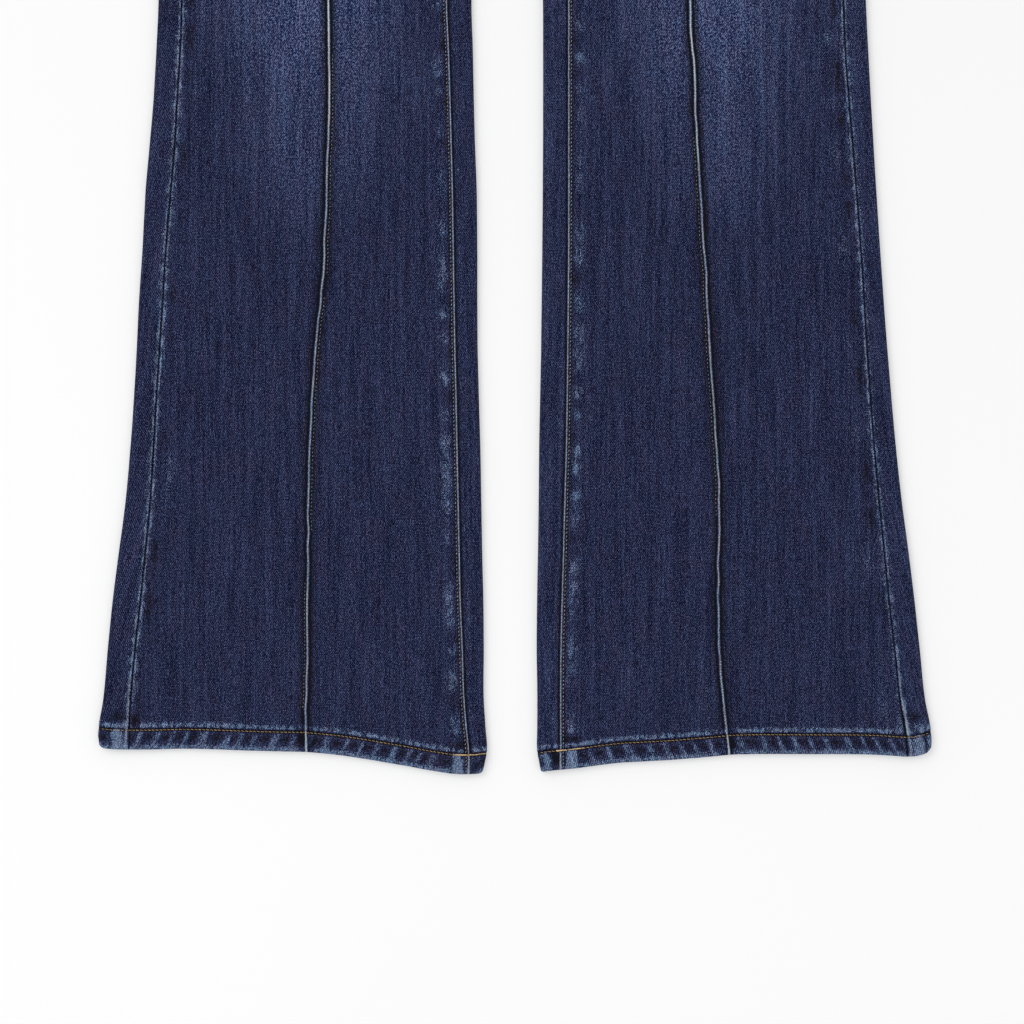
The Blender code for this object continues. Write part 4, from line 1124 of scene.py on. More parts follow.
def yoke_cloth(side):
    """A yoke: its flap and fold at the side, then the underside to the centre seam."""
    near = np.array((0.0,) + NEAR) / (WAIST_SEAM - YOKE_SIDE)
    between = np.linspace(near[-1], 1.0 - near[-1], YOKE_ROWS + 2)[1:-1]
    share_rows = np.concatenate([near, between, 1.0 - near[::-1]])[:, None]
    nominal = YOKE_SIDE + (WAIST_SEAM - YOKE_SIDE) * share_rows

    def height_at(distance, middle=BACK_RISE):
        low = yoke_seam(side, distance) + GAP / 2
        top = WAIST_SEAM + waist_curve(side, distance, middle)
        return low + (top - low) * share_rows

    back_of = curl_columns()
    flat = np.full_like(nominal, math.pi)
    on_front = np.arange(len(FLAP_SHARES) + BEND_COLUMNS) < len(FLAP_SHARES)

    def height_of(distance):
        return np.where(on_front, height_at(distance, FRONT_DIP), height_at(distance))

    outer = curled_edge(side, "outer", "outseam", nominal, height_of, flat, back_of, 1)
    start = side * (outer[0][:, -1:, 0] - MIDDLE)
    end = side * SEAT_CENTRE + GAP / 2
    share = np.linspace(0.0, 1.0, UNDERSIDE_COLUMNS + 1)[1:-1]
    by_seam = end + np.array((0.0,) + NEAR) + 0.0 * start
    distance = np.concatenate([start + (end - start) * share, by_seam], axis=1)
    distance = np.sort(distance, axis=1)[:, ::-1]
    under = point_grid(side, distance, height_at(distance), SEAT_LIFT)
    down = np.broadcast_to(np.array((0.0, 0.0, -1.0)), under.shape)
    points = np.concatenate([outer[0], under], axis=1)
    normals = np.concatenate([outer[1], down], axis=1)
    along = arc(points)
    height = points[..., 1] + LENGTH / 2
    seed = 500 + 40 * side
    distance = side * (points[..., 0] - MIDDLE)
    rest = along[:, -1:] - along
    worn, patchy, pale, rise = wear_and_shade_of(
        Seam(SEAM_GROOVE, along),
        Seam(SEAM_RIDGE, along, share=by_outseam(side, height, False)),
        Seam(PLAIN_EDGE, height - yoke_seam(side, distance)),
        centre_seam(side, rest, seed + 6, height),
        Seam(PLAIN_EDGE, WAIST_SEAM - nominal + 0.0 * along),
    )
    pattern = straight_grain(side, distance, along, height, outer[0].shape[1], 0)
    faded = fade(BACK_FADE, height, distance - across(side, "tuck", height)) * (normals[..., 2] < 0.0)
    outer = points + normals * rise[..., None]
    return Cloth(outer, points - normals * CLOTH, pattern, worn, patchy, pale, faded + 0.2, {"inner": rest})


FACING_POINTS = 40


def facing_cloth(side):
    """The cloth seen inside a front pocket: level with the outseam at one edge, under the front at the
    other."""
    nominal = np.linspace(FACING_LOW, WAIST_SEAM, FACING_POINTS)[:, None]
    hidden = nominal <= POCKET_LOW
    seam = across(side, "outseam", nominal) - GAP / 2 - np.where(hidden, FACING_INSET, 0.0)
    end = across(side, "outseam", nominal) - pocket_scoop(nominal) - FACING_UNDERLAP
    low = SEAT_LIFT + 2 * CLOTH + GAP
    high = np.where(hidden, low, SEAT_LIFT + 2 * FOLD_RADIUS)
    share = np.linspace(0.0, 1.0, FACING_POINTS)
    distance = seam + (end - seam) * share
    height = near_waist(side, nominal, distance)
    from_seam = seam - distance
    up = low + (high - low) * (1.0 - ease(from_seam, 0.0, FACING_SLOPE))
    worn, patchy, pale, rise = wear_and_shade_of(Seam(SEAM_GROOVE, from_seam), Seam(SEAM_RIDGE, from_seam, share=0.7))
    shade = bell(from_scoop(side, nominal, distance), 0.0, 0.004)
    pattern = np.stack([side * distance, height], axis=-1)
    outside = point_grid(side, distance, height, up + rise)
    inside = point_grid(side, distance, height, up - CLOTH)
    return Cloth(outside, inside, pattern, worn - 0.7 * shade, patchy, pale, 0.15 + 0.0 * worn)


HEM_FRONT_COUNTS = (2, 66, 66, 2)
HEM_UNDER_COLUMNS = 90
HEM_BENDS = 9
HEM_ROWS = EDGE_ROWS + (
    0.0019, 0.0029, 0.0041, 0.0054, 0.0067, 0.0080, 0.0093, 0.0104, 0.0113, 0.0120, 0.0127, 0.0132, 0.0136,
    HEM_DEPTH,
)
STITCH_ROW = -3

# How far a hem's corners are drawn up, and how far along it and up it that reaches.
INNER_CORNER = {-1: 0.0034, 1: 0.0004}
OUTER_CORNER = 0.0015
CORNER_WIDTH = 0.0022
CORNER_HEIGHT = 0.0080


def follow_hem(side, rows, place):
    """The heights of a hem's rows, which follow its lower edge, and the distances there. As the distances
    depend on the heights in turn, both are worked out a few times over."""
    height = rows
    for _ in range(3):
        distance = place(height)
        height = rows + hem_line(side, distance)
    return height, distance


def hem_course(side, rows):
    """A hem's course round the flattened leg: straight runs below and above, and a half round at each fold.
    Gives the distance, the height above the surface, and the normal's parts out and up, and which columns are
    on the front."""

    def inner_end(height):
        return across(side, "inner", height) + HEM_RADIUS

    def outer_end(height):
        return across(side, "outer", height) - HEM_RADIUS

    def front_places(height):
        lines = [inner_end(height)]
        lines += [across(side, name, height) for name in ("inseam", "tuck", "outseam")]
        return placed([*lines, outer_end(height)], columns)

    def under_places(height):
        return outer_end(height) + (inner_end(height) - outer_end(height)) * under_share

    columns = spread(HEM_FRONT_COUNTS)
    turns = np.linspace(0.0, math.pi, HEM_BENDS)
    bend = HEM_RADIUS * np.sin(turns)
    under_share = np.linspace(0.0, 1.0, HEM_UNDER_COLUMNS + 2)[1:-1]
    _, inner_distance = follow_hem(side, rows, lambda height: inner_end(height) - bend)
    _, outer_distance = follow_hem(side, rows, lambda height: outer_end(height) + bend)
    front_height, front_distance = follow_hem(side, rows, front_places)
    _, under_distance = follow_hem(side, rows, under_places)
    front_height, front_distance = front_height[:, 1:-1], front_distance[:, 1:-1]
    middle = 2 * HEM_WALL + HEM_ROOM
    edge = np.minimum(front_distance - inner_end(front_height), outer_end(front_height) - front_distance)
    front_up = middle + (2 * HEM_RADIUS - middle) * (1.0 - ease(edge, 0.0, FRONT_SLOPE))
    turn_up = HEM_RADIUS * (1.0 - np.cos(turns))
    pieces = (
        (under_distance, 0.0, 0.0, -1.0),
        (inner_distance, turn_up, -np.sin(turns), -np.cos(turns)),
        (front_distance, front_up, 0.0, 1.0),
        (outer_distance, turn_up[::-1], np.sin(turns), np.cos(turns)),
    )
    on_front = [np.full(piece[0].shape, piece[0] is front_distance) for piece in pieces]
    pieces = [np.stack(np.broadcast_arrays(*piece)) for piece in pieces]
    return (*np.concatenate(pieces, axis=2), np.concatenate(on_front, axis=1))


def hem_ropes(side, rows, along, normal_up):
    """The slanted ropes that a hem's washing leaves, 1 on them and -1 between them: an uneven wave along the
    hem, cut off above and below."""
    seed = 700 + 40 * side
    lean = side * HEM_LEAN * rows * np.where(normal_up > 0.0, 1.0, -1.0)
    place = (along + lean) / HEM_PITCH + 0.38 * wander(seed, along / 0.020)
    ripple = 0.35 * wander(seed + 1, along / 0.006, rows / 0.005)
    return np.clip(1.6 * np.cos(2.0 * math.pi * place) - 0.45 + ripple, -1.0, 1.0)


def hem_cloth(side):
    """A hem: a ring of cloth round the flattened leg, with slanted ropes raised on it, its lower edge rolled,
    and the seams and pintuck carried down it."""
    rows = np.array(HEM_ROWS)[:, None]
    distance, up, normal_out, normal_up, on_front = hem_course(side, rows)
    height = rows + hem_line(side, distance)
    at_inner = bell(distance, distance.min(), CORNER_WIDTH)
    at_outer = bell(distance, distance.max(), CORNER_WIDTH)
    corner = np.maximum(at_inner, at_outer) * np.where(at_inner > at_outer, INNER_CORNER[side], OUTER_CORNER)
    height = height + corner * (1.0 - ease(rows, 0.0, CORNER_HEIGHT)) ** 2
    points = point_grid(side, distance, height, up)
    normals = np.stack([side * normal_out, 0.0 * normal_out, normal_up], axis=-1)
    along = arc(points)
    seam_in = np.where(on_front, distance - across(side, "inseam", height), 1.0)
    seam_out = np.where(on_front, across(side, "outseam", height) - distance, 1.0)
    from_tuck = np.where(on_front, np.abs(distance - across(side, "tuck", height)), 1.0)
    calm = np.maximum(bell(seam_in, 0.0060, 0.0075), bell(seam_out, -0.0060, 0.0075))
    up_hem = rows + 0.0 * distance
    worn, patchy, pale, rise = wear_and_shade_of(
        Seam(HEM_EDGES, up_hem),
        Seam(HEM_ROPES, up_hem, hem_ropes(side, rows, along, normal_up), 1.0 - ease(calm, 0.2, 0.7)),
        Seam(HEM_BY_SEAM, seam_in),
        Seam(HEM_BY_SEAM, -seam_out),
        Seam(HEM_PAST_SEAM, -seam_in),
        Seam(INSEAM_FRONT[:2], seam_in),
        Seam(INSEAM_BACK[:1], -seam_in),
        Seam(SEAM_GROOVE, seam_out - 0.0004),
        Seam(SEAM_FOOT[1:], -seam_out),
        Seam(SEAM_FOOT[:1], seam_out - 0.0008, share=0.6 + 0.4 * side),
        Seam(TUCK, from_tuck),
    )
    worn = worn + 0.30 * np.abs(normal_out) ** 2
    ridge = 0.9 * TUCK_HEIGHT * np.sqrt(np.clip(1.0 - (from_tuck / (0.62 * TUCK_FOOT)) ** 2, 0.0, 1.0))
    rise = rise + (ridge + 0.0004 * bell(seam_in, 0.006, 0.006)) * ease(rows, 0.0, 0.002)
    rise = np.where(points[..., 2] < HEM_RADIUS, np.minimum(rise, 0.0), rise)
    roll = rolled(rows, HEM_WALL)
    outer = points + normals * (rise - roll)[..., None]
    inner = points - normals * (HEM_WALL - roll)[..., None]
    pattern = np.stack([side * along, height], axis=-1)
    return Cloth(outer, inner, pattern, worn, patchy, pale, 0.12 + 0.0 * worn)


BAND_ROWS = EDGE_ROWS + (0.0016, 0.0020, 0.0026, 0.0036, 0.0048, 0.0062, 0.0080, 0.0110, 0.0150)
BAND_STITCH_ROW = BAND_ROWS.index(0.0020)
BAND_COLUMNS = {"under": 96, "turn": 13, "back": 170, "over": 84}
BAND_END = (0.0030, 0.0020, 0.0010, 0.0004, 0.0)


def band_stations():
    """The waistband's course: its right end, round the back, and its left end over the right, as place,
    height above the surface, and the normal's parts out and up."""
    radius = BAND_WALL + GAP / 2
    flat = WAIST_HALF_WIDTH - radius
    under = -np.linspace(-BAND_UNDERLAP, flat, BAND_COLUMNS["under"])
    turn = np.linspace(0.0, math.pi, BAND_COLUMNS["turn"])
    aside, along = np.sin(turn), np.cos(turn)
    back = np.linspace(-flat, flat, BAND_COLUMNS["back"])[1:-1]
    over = np.linspace(flat, -FLY_LAP + 0.004, BAND_COLUMNS["over"])[1:]
    over = np.concatenate([over, -FLY_LAP + np.array(BAND_END)])
    ramp = (BAND_WALL + GAP) * (1.0 - ease(over, *BAND_RAMP))
    parts = (
        (under, 2 * radius, 0.0, 1.0),
        (-flat - radius * aside[1:], radius * (1 + along[1:]), -aside[1:], along[1:]),
        (back, 0.0, 0.0, -1.0),
        (flat + radius * aside, radius * (1 - along), aside, -along),
        (over, 2 * radius + ramp, 0.0, 1.0),
    )
    return np.concatenate([np.stack(np.broadcast_arrays(*part)) for part in parts], axis=1)


def band_cloth():
    """The waistband: a flat tube's course, carried up its depth, both its edges rolled and pressed down
    beside their rows of stitches."""
    place, up, normal_out, normal_up = band_stations()
    rows = np.array(BAND_ROWS + tuple(BAND_DEPTH - row for row in reversed(BAND_ROWS)))[:, None]
    middle = np.where(normal_up < 0.0, BACK_RISE, FRONT_DIP)
    share = np.minimum(np.abs(place) / WAIST_HALF_WIDTH, 1.0)
    low = WAIST_SEAM + BAND_GAP + middle * (1.0 - share**2)
    height = low + rows
    points = (SEAT_CENTRE + MIDDLE + place, height - LENGTH / 2, SEAT_LIFT + up)
    points = np.stack(np.broadcast_arrays(*points), axis=-1)
    normals = np.broadcast_to(np.stack([normal_out, 0 * normal_out, normal_up], axis=-1), points.shape)
    along = arc(points)
    edge = np.minimum(rows, BAND_DEPTH - rows) + 0.0 * along
    end = np.minimum(along, along[:, -1:] - along)
    wave = puckers(811, along + 0.4 * rows, BAND_PITCH)
    worn, patchy, pale, rise = wear_and_shade_of(Seam(BAND_EDGE, edge, wave), Seam(PLAIN_EDGE, end))
    rise = rise + 0.00010 * wander(815, along / 0.03, rows / 0.012)
    roll = np.maximum(rolled(edge, BAND_WALL), rolled(end, BAND_WALL) * 0.8)
    outer = points + normals * (rise - roll)[..., None]
    inner = points - normals * (BAND_WALL - roll)[..., None]
    pattern = np.stack([height + 0.0 * along, along], axis=-1)
    return Cloth(outer, inner, pattern, worn, patchy, pale, 0.22 + 0.0 * worn)


POCKET_MOUTH_ROW = 0.0104
POCKET_ROWS = EDGE_ROWS + (
    0.0018, 0.0025, 0.0035, 0.0047, 0.0058, 0.0066, 0.0072, 0.0077, 0.0083, 0.0092, 0.0104, 0.0118,
)


def pocket_cloth(side):
    """A patch pocket under the seat: straight across its mouth, narrower at its foot, with a low point. Its
    edges are rolled, with a trough for each row of stitches."""
    down = np.array(POCKET_ROWS) / 0.15
    down = np.concatenate([down, np.linspace(down[-1], 1.0 - down[-1], 46)[1:-1], 1.0 - down[::-1]])
    out = np.array(POCKET_ROWS) / 0.07
    out = np.concatenate([out - 1.0, np.linspace(out[-1] - 1.0, 1.0 - out[-1], 41)[1:-1], 1.0 - out[::-1]])
    down, out = np.meshgrid(1.0 - down, out, indexing="ij")
    half = (BACK_POCKET_WIDTH + (BACK_POCKET_FOOT - BACK_POCKET_WIDTH) * down) / 2
    depth = BACK_POCKET_SIDE + BACK_POCKET_POINT * (1.0 - np.abs(out))
    x, y = side * out * half, -down * depth
    sides = (1.0 - np.abs(out)) * half
    mouth, foot = down * depth, (1.0 - down) * depth * 0.98
    edge = np.minimum(sides, np.minimum(mouth, foot))
    worn, patchy, pale, rise = bands(FELLED, edge, puckers(900 + 40 * side, x + y, BAND_PITCH))
    rise = np.minimum(rise, 0.0)
    roll = rolled(edge, CLOTH)
    turn = side * BACK_POCKET_TURN
    place = (side * BACK_POCKET_CENTRE + SEAT_CENTRE + MIDDLE, BACK_POCKET_TOP - LENGTH / 2)
    flat_x = place[0] + x * math.cos(turn) - y * math.sin(turn)
    flat_y = place[1] + x * math.sin(turn) + y * math.cos(turn)
    outer = np.stack([flat_x, flat_y, roll - rise], axis=-1)
    inner = np.stack([flat_x, flat_y, CLOTH - roll], axis=-1)
    middle = bell(x, 0.0, 0.045) * bell(y, -0.06, 0.05)
    marks = {"sides": sides, "mouth": mouth, "foot": foot}
    return Cloth(outer, inner, np.stack([-x, y], axis=-1), worn, patchy, pale, 0.25 + 0.75 * middle, marks)


LOOPS = {
    "loop_front_right": (-LOOP_FRONT_PLACE, FRONT_DIP, SEAT_LIFT + 2 * BAND_WALL + 2 * GAP),
    "loop_front_left": (LOOP_FRONT_PLACE, FRONT_DIP, SEAT_LIFT + 2 * BAND_WALL + 2 * GAP),
    "loop_back_right": (-LOOP_BACK_PLACE, BACK_RISE, 0.0),
    "loop_back_left": (LOOP_BACK_PLACE, BACK_RISE, 0.0),
    "loop_back_middle": (0.0, BACK_RISE, 0.0),
}


def loop_frame(name):
    """Where a belt loop is: the middle of the waistband's lower edge there, the loop's directions out and
    along, and its height above the surface."""
    place, middle, up = LOOPS[name]
    height = WAIST_SEAM + middle * (1.0 - (place / WAIST_HALF_WIDTH) ** 2)
    turn = math.atan(-2.0 * middle * place / WAIST_HALF_WIDTH**2)
    origin = np.array((place + SEAT_CENTRE + MIDDLE, height - LENGTH / 2))
    out = np.array((math.cos(turn), math.sin(turn)))
    along = np.array((-math.sin(turn), math.cos(turn)))
    return origin, out, along, up


def loop_cloth(name):
    """A belt loop: a narrow strip with rolled edges and a soft ridge down its middle."""
    origin, out, along, up = loop_frame(name)
    rows = np.concatenate([np.array(EDGE_ROWS), np.linspace(0.0020, LOOP_LENGTH - 0.0020, 40)])
    rows = np.concatenate([rows, LOOP_LENGTH - np.array(EDGE_ROWS)[::-1]])[:, None]
    half = LOOP_WIDTH / 2
    columns = np.array(EDGE_ROWS + (0.0018, 0.0026, 0.0036, 0.0046))
    columns = np.concatenate([columns - half, [0.0], half - columns[::-1]])
    rows, columns = np.broadcast_arrays(rows, columns)
    edge = half - np.abs(columns)
    end = np.minimum(rows, LOOP_LENGTH - rows)
    wave = puckers(950 + len(name), rows, 0.009)
    worn, patchy, pale, rise = bands(PLAIN_EDGE, edge, 0.0)
    worn = worn + 0.55 * wave * bell(columns, 0.0, 0.003) + 0.2
    upwards = 1.0 if up > 0.0 else -1.0
    arch = 0.00035 * bell(columns, 0.0, 0.0032) * ease(end, 0.003, 0.008) + 0.0001 * wave
    rise = rise + (arch if upwards > 0.0 else np.minimum(arch - 0.0004, 0.0))
    roll = np.maximum(rolled(edge, CLOTH), rolled(end, CLOTH))
    flat = origin + columns[..., None] * out + (rows - LOOP_OVERHANG)[..., None] * along
    base = up + (CLOTH if upwards > 0.0 else 0.0)
    outer = np.concatenate([flat, (base + upwards * (rise - roll))[..., None]], axis=-1)
    inner = np.concatenate([flat, (base - upwards * (CLOTH - roll))[..., None]], axis=-1)
    return Cloth(outer, inner, np.stack([columns, rows], axis=-1), worn, patchy, pale, 0.3 + 0.0 * worn)


# Meshes


def mesh_from(name, points, corners, sizes):
    """A mesh from its points, the corners of all its faces in a row, and each face's number of corners."""
    mesh = bpy.data.meshes.new(name)
    mesh.vertices.add(len(points))
    mesh.vertices.foreach_set("co", np.ascontiguousarray(points, np.float32).ravel())
    mesh.loops.add(len(corners))
    mesh.loops.foreach_set("vertex_index", np.ascontiguousarray(corners, np.int32))
    mesh.polygons.add(len(sizes))
    starts = np.concatenate([[0], np.cumsum(sizes)[:-1]]).astype(np.int32)
    mesh.polygons.foreach_set("loop_start", starts)
    mesh.update(calc_edges=True)
    mesh.validate()
    return mesh


def add_object(name, mesh, material, sharp_from=60.0):
    """An object for a mesh, shaded smooth but for its sharp edges, riding on the garment's one body."""
    mesh.materials.append(material)
    mesh.shade_smooth()
    mesh.set_sharp_from_angle(angle=math.radians(sharp_from))
    made = bpy.data.objects.new(name, mesh)
    bpy.context.scene.collection.objects.link(made)
    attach(made, "root")
    return made


def cloth_mesh(name, cloth, around=False):
    """A closed wall: the outer grid, the inner grid turned over, and rims between their edges. Its pattern
    goes into a UV map in metres, and its wear and painted shade into attributes."""
    outer, inner = cloth.outer, cloth.inner
    rows, columns = outer.shape[:2]
    total = rows * columns
    number = np.arange(total).reshape(rows, columns)
    if around:
        number = np.concatenate([number, number[:, :1]], axis=1)
    quads = [np.stack([number[:-1, :-1], number[:-1, 1:], number[1:, 1:], number[1:, :-1]], axis=-1)]
    quads.append(quads[0][..., ::-1] + total)
    low, top = number[0], number[-1]
    quads.append(np.stack([low[1:], low[:-1], low[:-1] + total, low[1:] + total], axis=-1))
    quads.append(np.stack([top[:-1], top[1:], top[1:] + total, top[:-1] + total], axis=-1))
    if not around:
        first, last = number[:, 0], number[:, -1]
        quads.append(np.stack([first[:-1], first[1:], first[1:] + total, first[:-1] + total], axis=-1))
        quads.append(np.stack([last[1:], last[:-1], last[:-1] + total, last[1:] + total], axis=-1))
    faces = np.concatenate([quad.reshape(-1, 4) for quad in quads])
    span_across = outer[:-1, 1:] - outer[:-1, :-1]
    span_up = outer[1:, :-1] - outer[:-1, :-1]
    facing = np.einsum("ijk,ijk->", np.cross(span_across, span_up), (outer - inner)[:-1, :-1])
    if facing < 0.0:
        faces = faces[:, ::-1]
    corners = faces.ravel()
    points = np.concatenate([outer.reshape(-1, 3), inner.reshape(-1, 3)])
    mesh = mesh_from(name, points, corners, np.full(len(faces), 4))
    pattern = np.tile(cloth.pattern.reshape(-1, 2), (2, 1))
    layer = mesh.uv_layers.new(name="cloth")
    layer.uv.foreach_set("vector", pattern[corners].astype(np.float32).ravel())
    for word in ("worn", "patchy", "pale", "faded"):
        values = np.broadcast_to(getattr(cloth, word), (rows, columns)).ravel()
        attribute = mesh.attributes.new(word, "FLOAT", "POINT")
        attribute.data.foreach_set("value", np.tile(values, 2).astype(np.float32))
    return mesh


def add_cloth(name, cloth, around=False):
    """A cloth piece in place of its solid, which is hidden."""
    material = bpy.data.materials.get("washed_denim") or denim_material()
    made = add_object(f"{name}_cloth", cloth_mesh(name, cloth, around), material)
    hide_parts(name)
    return made


# Sewing

UP = (0.0, 0.0, 1.0)
BAR_PITCH = 0.00052
BAR_THREAD = 0.00026
BAR_WIDTH = 0.0022


def evenly(path, pitch):
    """Points a whole number of stitches apart along a path, as near to the pitch as they go."""
    steps = np.linalg.norm(np.diff(path[:, :3], axis=0), axis=1)
    length = np.concatenate([[0.0], np.cumsum(steps)])
    count = max(round(length[-1] / pitch), 1)
    at = np.linspace(0.0, length[-1], count + 1)
    return np.stack([np.interp(at, length, values) for values in path.T], axis=-1)


# The rings of a stitch: place along it, thickness, and rise over the cloth, the last two in thread radii.
Ring = namedtuple("Ring", "place thickness rise")
RINGS = (
    Ring(-0.36, 0.60, -0.7),
    Ring(-0.22, 1.00, 0.4),
    Ring(0.00, 1.05, 0.8),
    Ring(0.22, 1.00, 0.4),
    Ring(0.36, 0.60, -0.7),
)
RING_SIDES = 6
RING_FLATNESS = 0.8


def stitches_along(path, pitch, radius, slant=0.0, span=None, sunk=0.0):
    """One row of stitches: between each two needle holes a short tube that rises over the cloth in the
    middle. Gives the tubes' points as stitch, ring, side and axis. A path's further numbers say which way
    is out of the cloth. slant turns each stitch off its row, span gives it a length of its own, and sunk
    sets it into the cloth."""
    holes = evenly(np.asarray(path, float), pitch)
    centre = (holes[1:, :3] + holes[:-1, :3]) / 2
    step = holes[1:, :3] - holes[:-1, :3]
    length = np.linalg.norm(step, axis=1, keepdims=True)
    forward = step / length
    up = holes[1:, 3:] if holes.shape[1] == 6 else np.broadcast_to(np.array(UP), forward.shape)
    aside = np.cross(forward, up)
    aside /= np.linalg.norm(aside, axis=1, keepdims=True)
    up = np.cross(aside, forward)
    centre = centre - up * sunk
    turned = forward * math.cos(slant) + aside * math.sin(slant)
    aside = aside * math.cos(slant) - forward * math.sin(slant)
    length = length if span is None else np.full_like(length, span)
    place, thick, rise = (np.array(value)[None, :, None, None] for value in zip(*RINGS))
    angle = (np.arange(RING_SIDES) * 2.0 * math.pi / RING_SIDES)[None, None, :, None]
    frames = (value[:, None, None] for value in (centre, turned, length, up, aside))
    centre, turned, length, up, aside = frames
    line = centre + turned * place * length + up * rise * radius
    spoke = aside * np.cos(angle) + up * np.sin(angle) * RING_FLATNESS
    return line + spoke * radius * thick


# The kinds of stitch: thickness in thread radii, slant, length where it isn't that of its step, and how far
# it is sunk into the cloth.
Stitch = namedtuple("Stitch", "thread slant span sunk", defaults=(0.0, None, 0.0))
PLAIN_STITCH = Stitch(1.0)
INSEAM_STITCH = Stitch(0.52, 0.34, 0.0021)
TUCK_STITCH = Stitch(0.36, 0.12, 0.0019)
HEM_STITCH = Stitch(0.56, 0.20, 0.0032)
SEAT_STITCH = Stitch(0.8, sunk=0.00012)
POCKET_STITCH = Stitch(0.8, sunk=0.00010)
LOOP_STITCH = Stitch(0.8, sunk=0.00008)
BAND_STITCH = Stitch(0.9, sunk=0.00008)


def sew(paths, kind):
    """Rows of one kind of stitch along some paths."""
    sewing = bpy.context.scene.jeans_sewing
    radius = kind.thread * sewing.thread
    return [stitches_along(path, sewing.stitch, radius, kind.slant, kind.span, kind.sunk) for path in paths]


def thread_mesh(name, rows):
    """All the stitches of some rows in one mesh: quads round each tube and a flat end on both its ends."""
    tubes = np.concatenate(rows)
    count, rings, sides = tubes.shape[:3]
    number = np.arange(count * rings * sides).reshape(count, rings, sides)
    ahead = np.roll(number, -1, axis=2)
    quads = np.stack([number[:, :-1], ahead[:, :-1], ahead[:, 1:], number[:, 1:]], axis=-1).reshape(-1, 4)
    ends = np.concatenate([number[:, 0, ::-1], number[:, -1]])
    corners = np.concatenate([quads.ravel(), ends.ravel()])
    sizes = np.concatenate([np.full(len(quads), 4), np.full(len(ends), sides)])
    return mesh_from(name, tubes.reshape(-1, 3), corners, sizes)


def add_thread(name, rows, colour):
    """A piece of sewing from its rows of stitches."""
    return add_object(name, thread_mesh(name, rows), thread_material(colour), 80.0)


def outwards(outer, inner):
    """Points of a cloth's outside together with the direction from its inside to them."""
    way = outer - inner
    return np.concatenate([outer, way / np.linalg.norm(way, axis=-1, keepdims=True)], axis=-1)


def level_line(cloth, mark, value, by_rows=True, part=slice(None)):
    """The line on a cloth's outside where one of its marks reaches a value, found by straight steps between
    neighbouring points of each row, or of each column."""
    field, points = cloth.marks[mark][:, part], outwards(cloth.outer, cloth.inner)[:, part]
    if not by_rows:
        field, points = field.T, points.transpose(1, 0, 2)
    crossed = (field[:, :-1] - value) * (field[:, 1:] - value) <= 0.0
    row = np.flatnonzero(crossed.any(axis=1))
    at = crossed[row].argmax(axis=1)
    start, end = field[row, at], field[row, at + 1]
    share = ((value - start) / np.where(end == start, 1.0, end - start))[:, None]
    return points[row, at] * (1.0 - share) + points[row, at + 1] * share


def above_height(path, low, high=9.0):
    """The part of a line between two heights along the leg."""
    height = path[:, 1] + LENGTH / 2
    return path[(height > low) & (height < high)]


def bar(start, end, out=UP):
    """A bar tack: close stitches side by side along a short straight line."""
    share = np.linspace(0.0, 1.0, 6)[:, None]
    line = np.array(start) * (1.0 - share) + np.array(end) * share
    line = np.concatenate([line, np.broadcast_to(np.array(out), line.shape)], axis=1)
    return stitches_along(line, BAR_PITCH, BAR_THREAD, slant=1.45, span=BAR_WIDTH, sunk=-0.0001)


def hem_lines(side, hem, distance):
    """A line down a hem's front, at a distance out from X = 0, from the stitched row to just over its
    edge."""
    out = side * (hem.outer[4, :, 0] - MIDDLE)
    underneath = hem.outer[4, :, 2] < HEM_RADIUS
    column = np.argmin(np.abs(out - distance) + 1.0 * underneath)
    return hem.outer[3:STITCH_ROW, column][::-1]


# Where the pintuck's stitches show, and how far out from the ridge they are.
TuckRow = namedtuple("TuckRow", "low high off")
TUCK_STITCHES = {
    -1: (
        TuckRow(0.165, 0.325, -0.0021),
        TuckRow(0.340, 0.490, -0.0023),
        TuckRow(0.030, 0.130, 0.0019),
        TuckRow(0.560, 1.045, -0.0022),
    ),
    1: (
        TuckRow(0.175, 0.434, -0.0021),
        TuckRow(0.560, 1.045, -0.0022),
    ),
}

# The tacks on the hems' stitches: from distance, to distance, and length of a stitch.
Tack = namedtuple("Tack", "start end span")
HEM_TACKS = {
    -1: (Tack(0.0318, 0.0428, 0.0019), Tack(0.0190, 0.0318, 0.0011)),
    1: (Tack(0.0276, 0.0356, 0.0019), Tack(0.0356, 0.0485, 0.0012)),
}
TACK_PITCH = 0.00105
TACK_UNEVEN = 0.00022

# How far from its seam the inseam's row is, how high it goes, the two rows of a double seam, and where those
# of the seat begin and end.
EDGE_STITCH = 0.0021
SEAM_ROW_HIGH = 0.780
DOUBLE_ROWS = (0.0018, 0.0076)
SEAT_SEAM_LOW = 0.800
BACK_SEAM_HIGH = 1.020

# The buttonhole's three bars, measured from the button's middle.
Bar = namedtuple("Bar", "start end")
BUTTONHOLE = (
    Bar((-0.0040, -0.0013, 0.0), (0.0145, -0.0013, 0.0)),
    Bar((-0.0040, 0.0013, 0.0), (0.0145, 0.0013, 0.0)),
    Bar((0.0155, -0.0022, 0.0), (0.0155, 0.0022, 0.0)),
)

# The fly: the foot of its stitched line, the line's bend, how far its rows are from the edge, and its tack.
FLY_LOW = 0.903
FLY_BEND = 0.045
FLY_ROWS = (0.0370, 0.0430)
FLY_BAR = (0.9010, 0.9100)
FLY_BAR_OFF = 0.0042


def fly_line(height, reach):
    """The fly's stitched line on the left front: straight down beside the edge, then an ellipse in to it."""
    edge = front_lines(1, height)[2]
    bend = FLY_BEND + (reach - FLY_ROWS[0])
    fall = np.clip((FLY_LOW + bend - height) / bend, 0.0, 1.0)
    return edge + reach * np.sqrt(1.0 - fall**2) + 0.0005


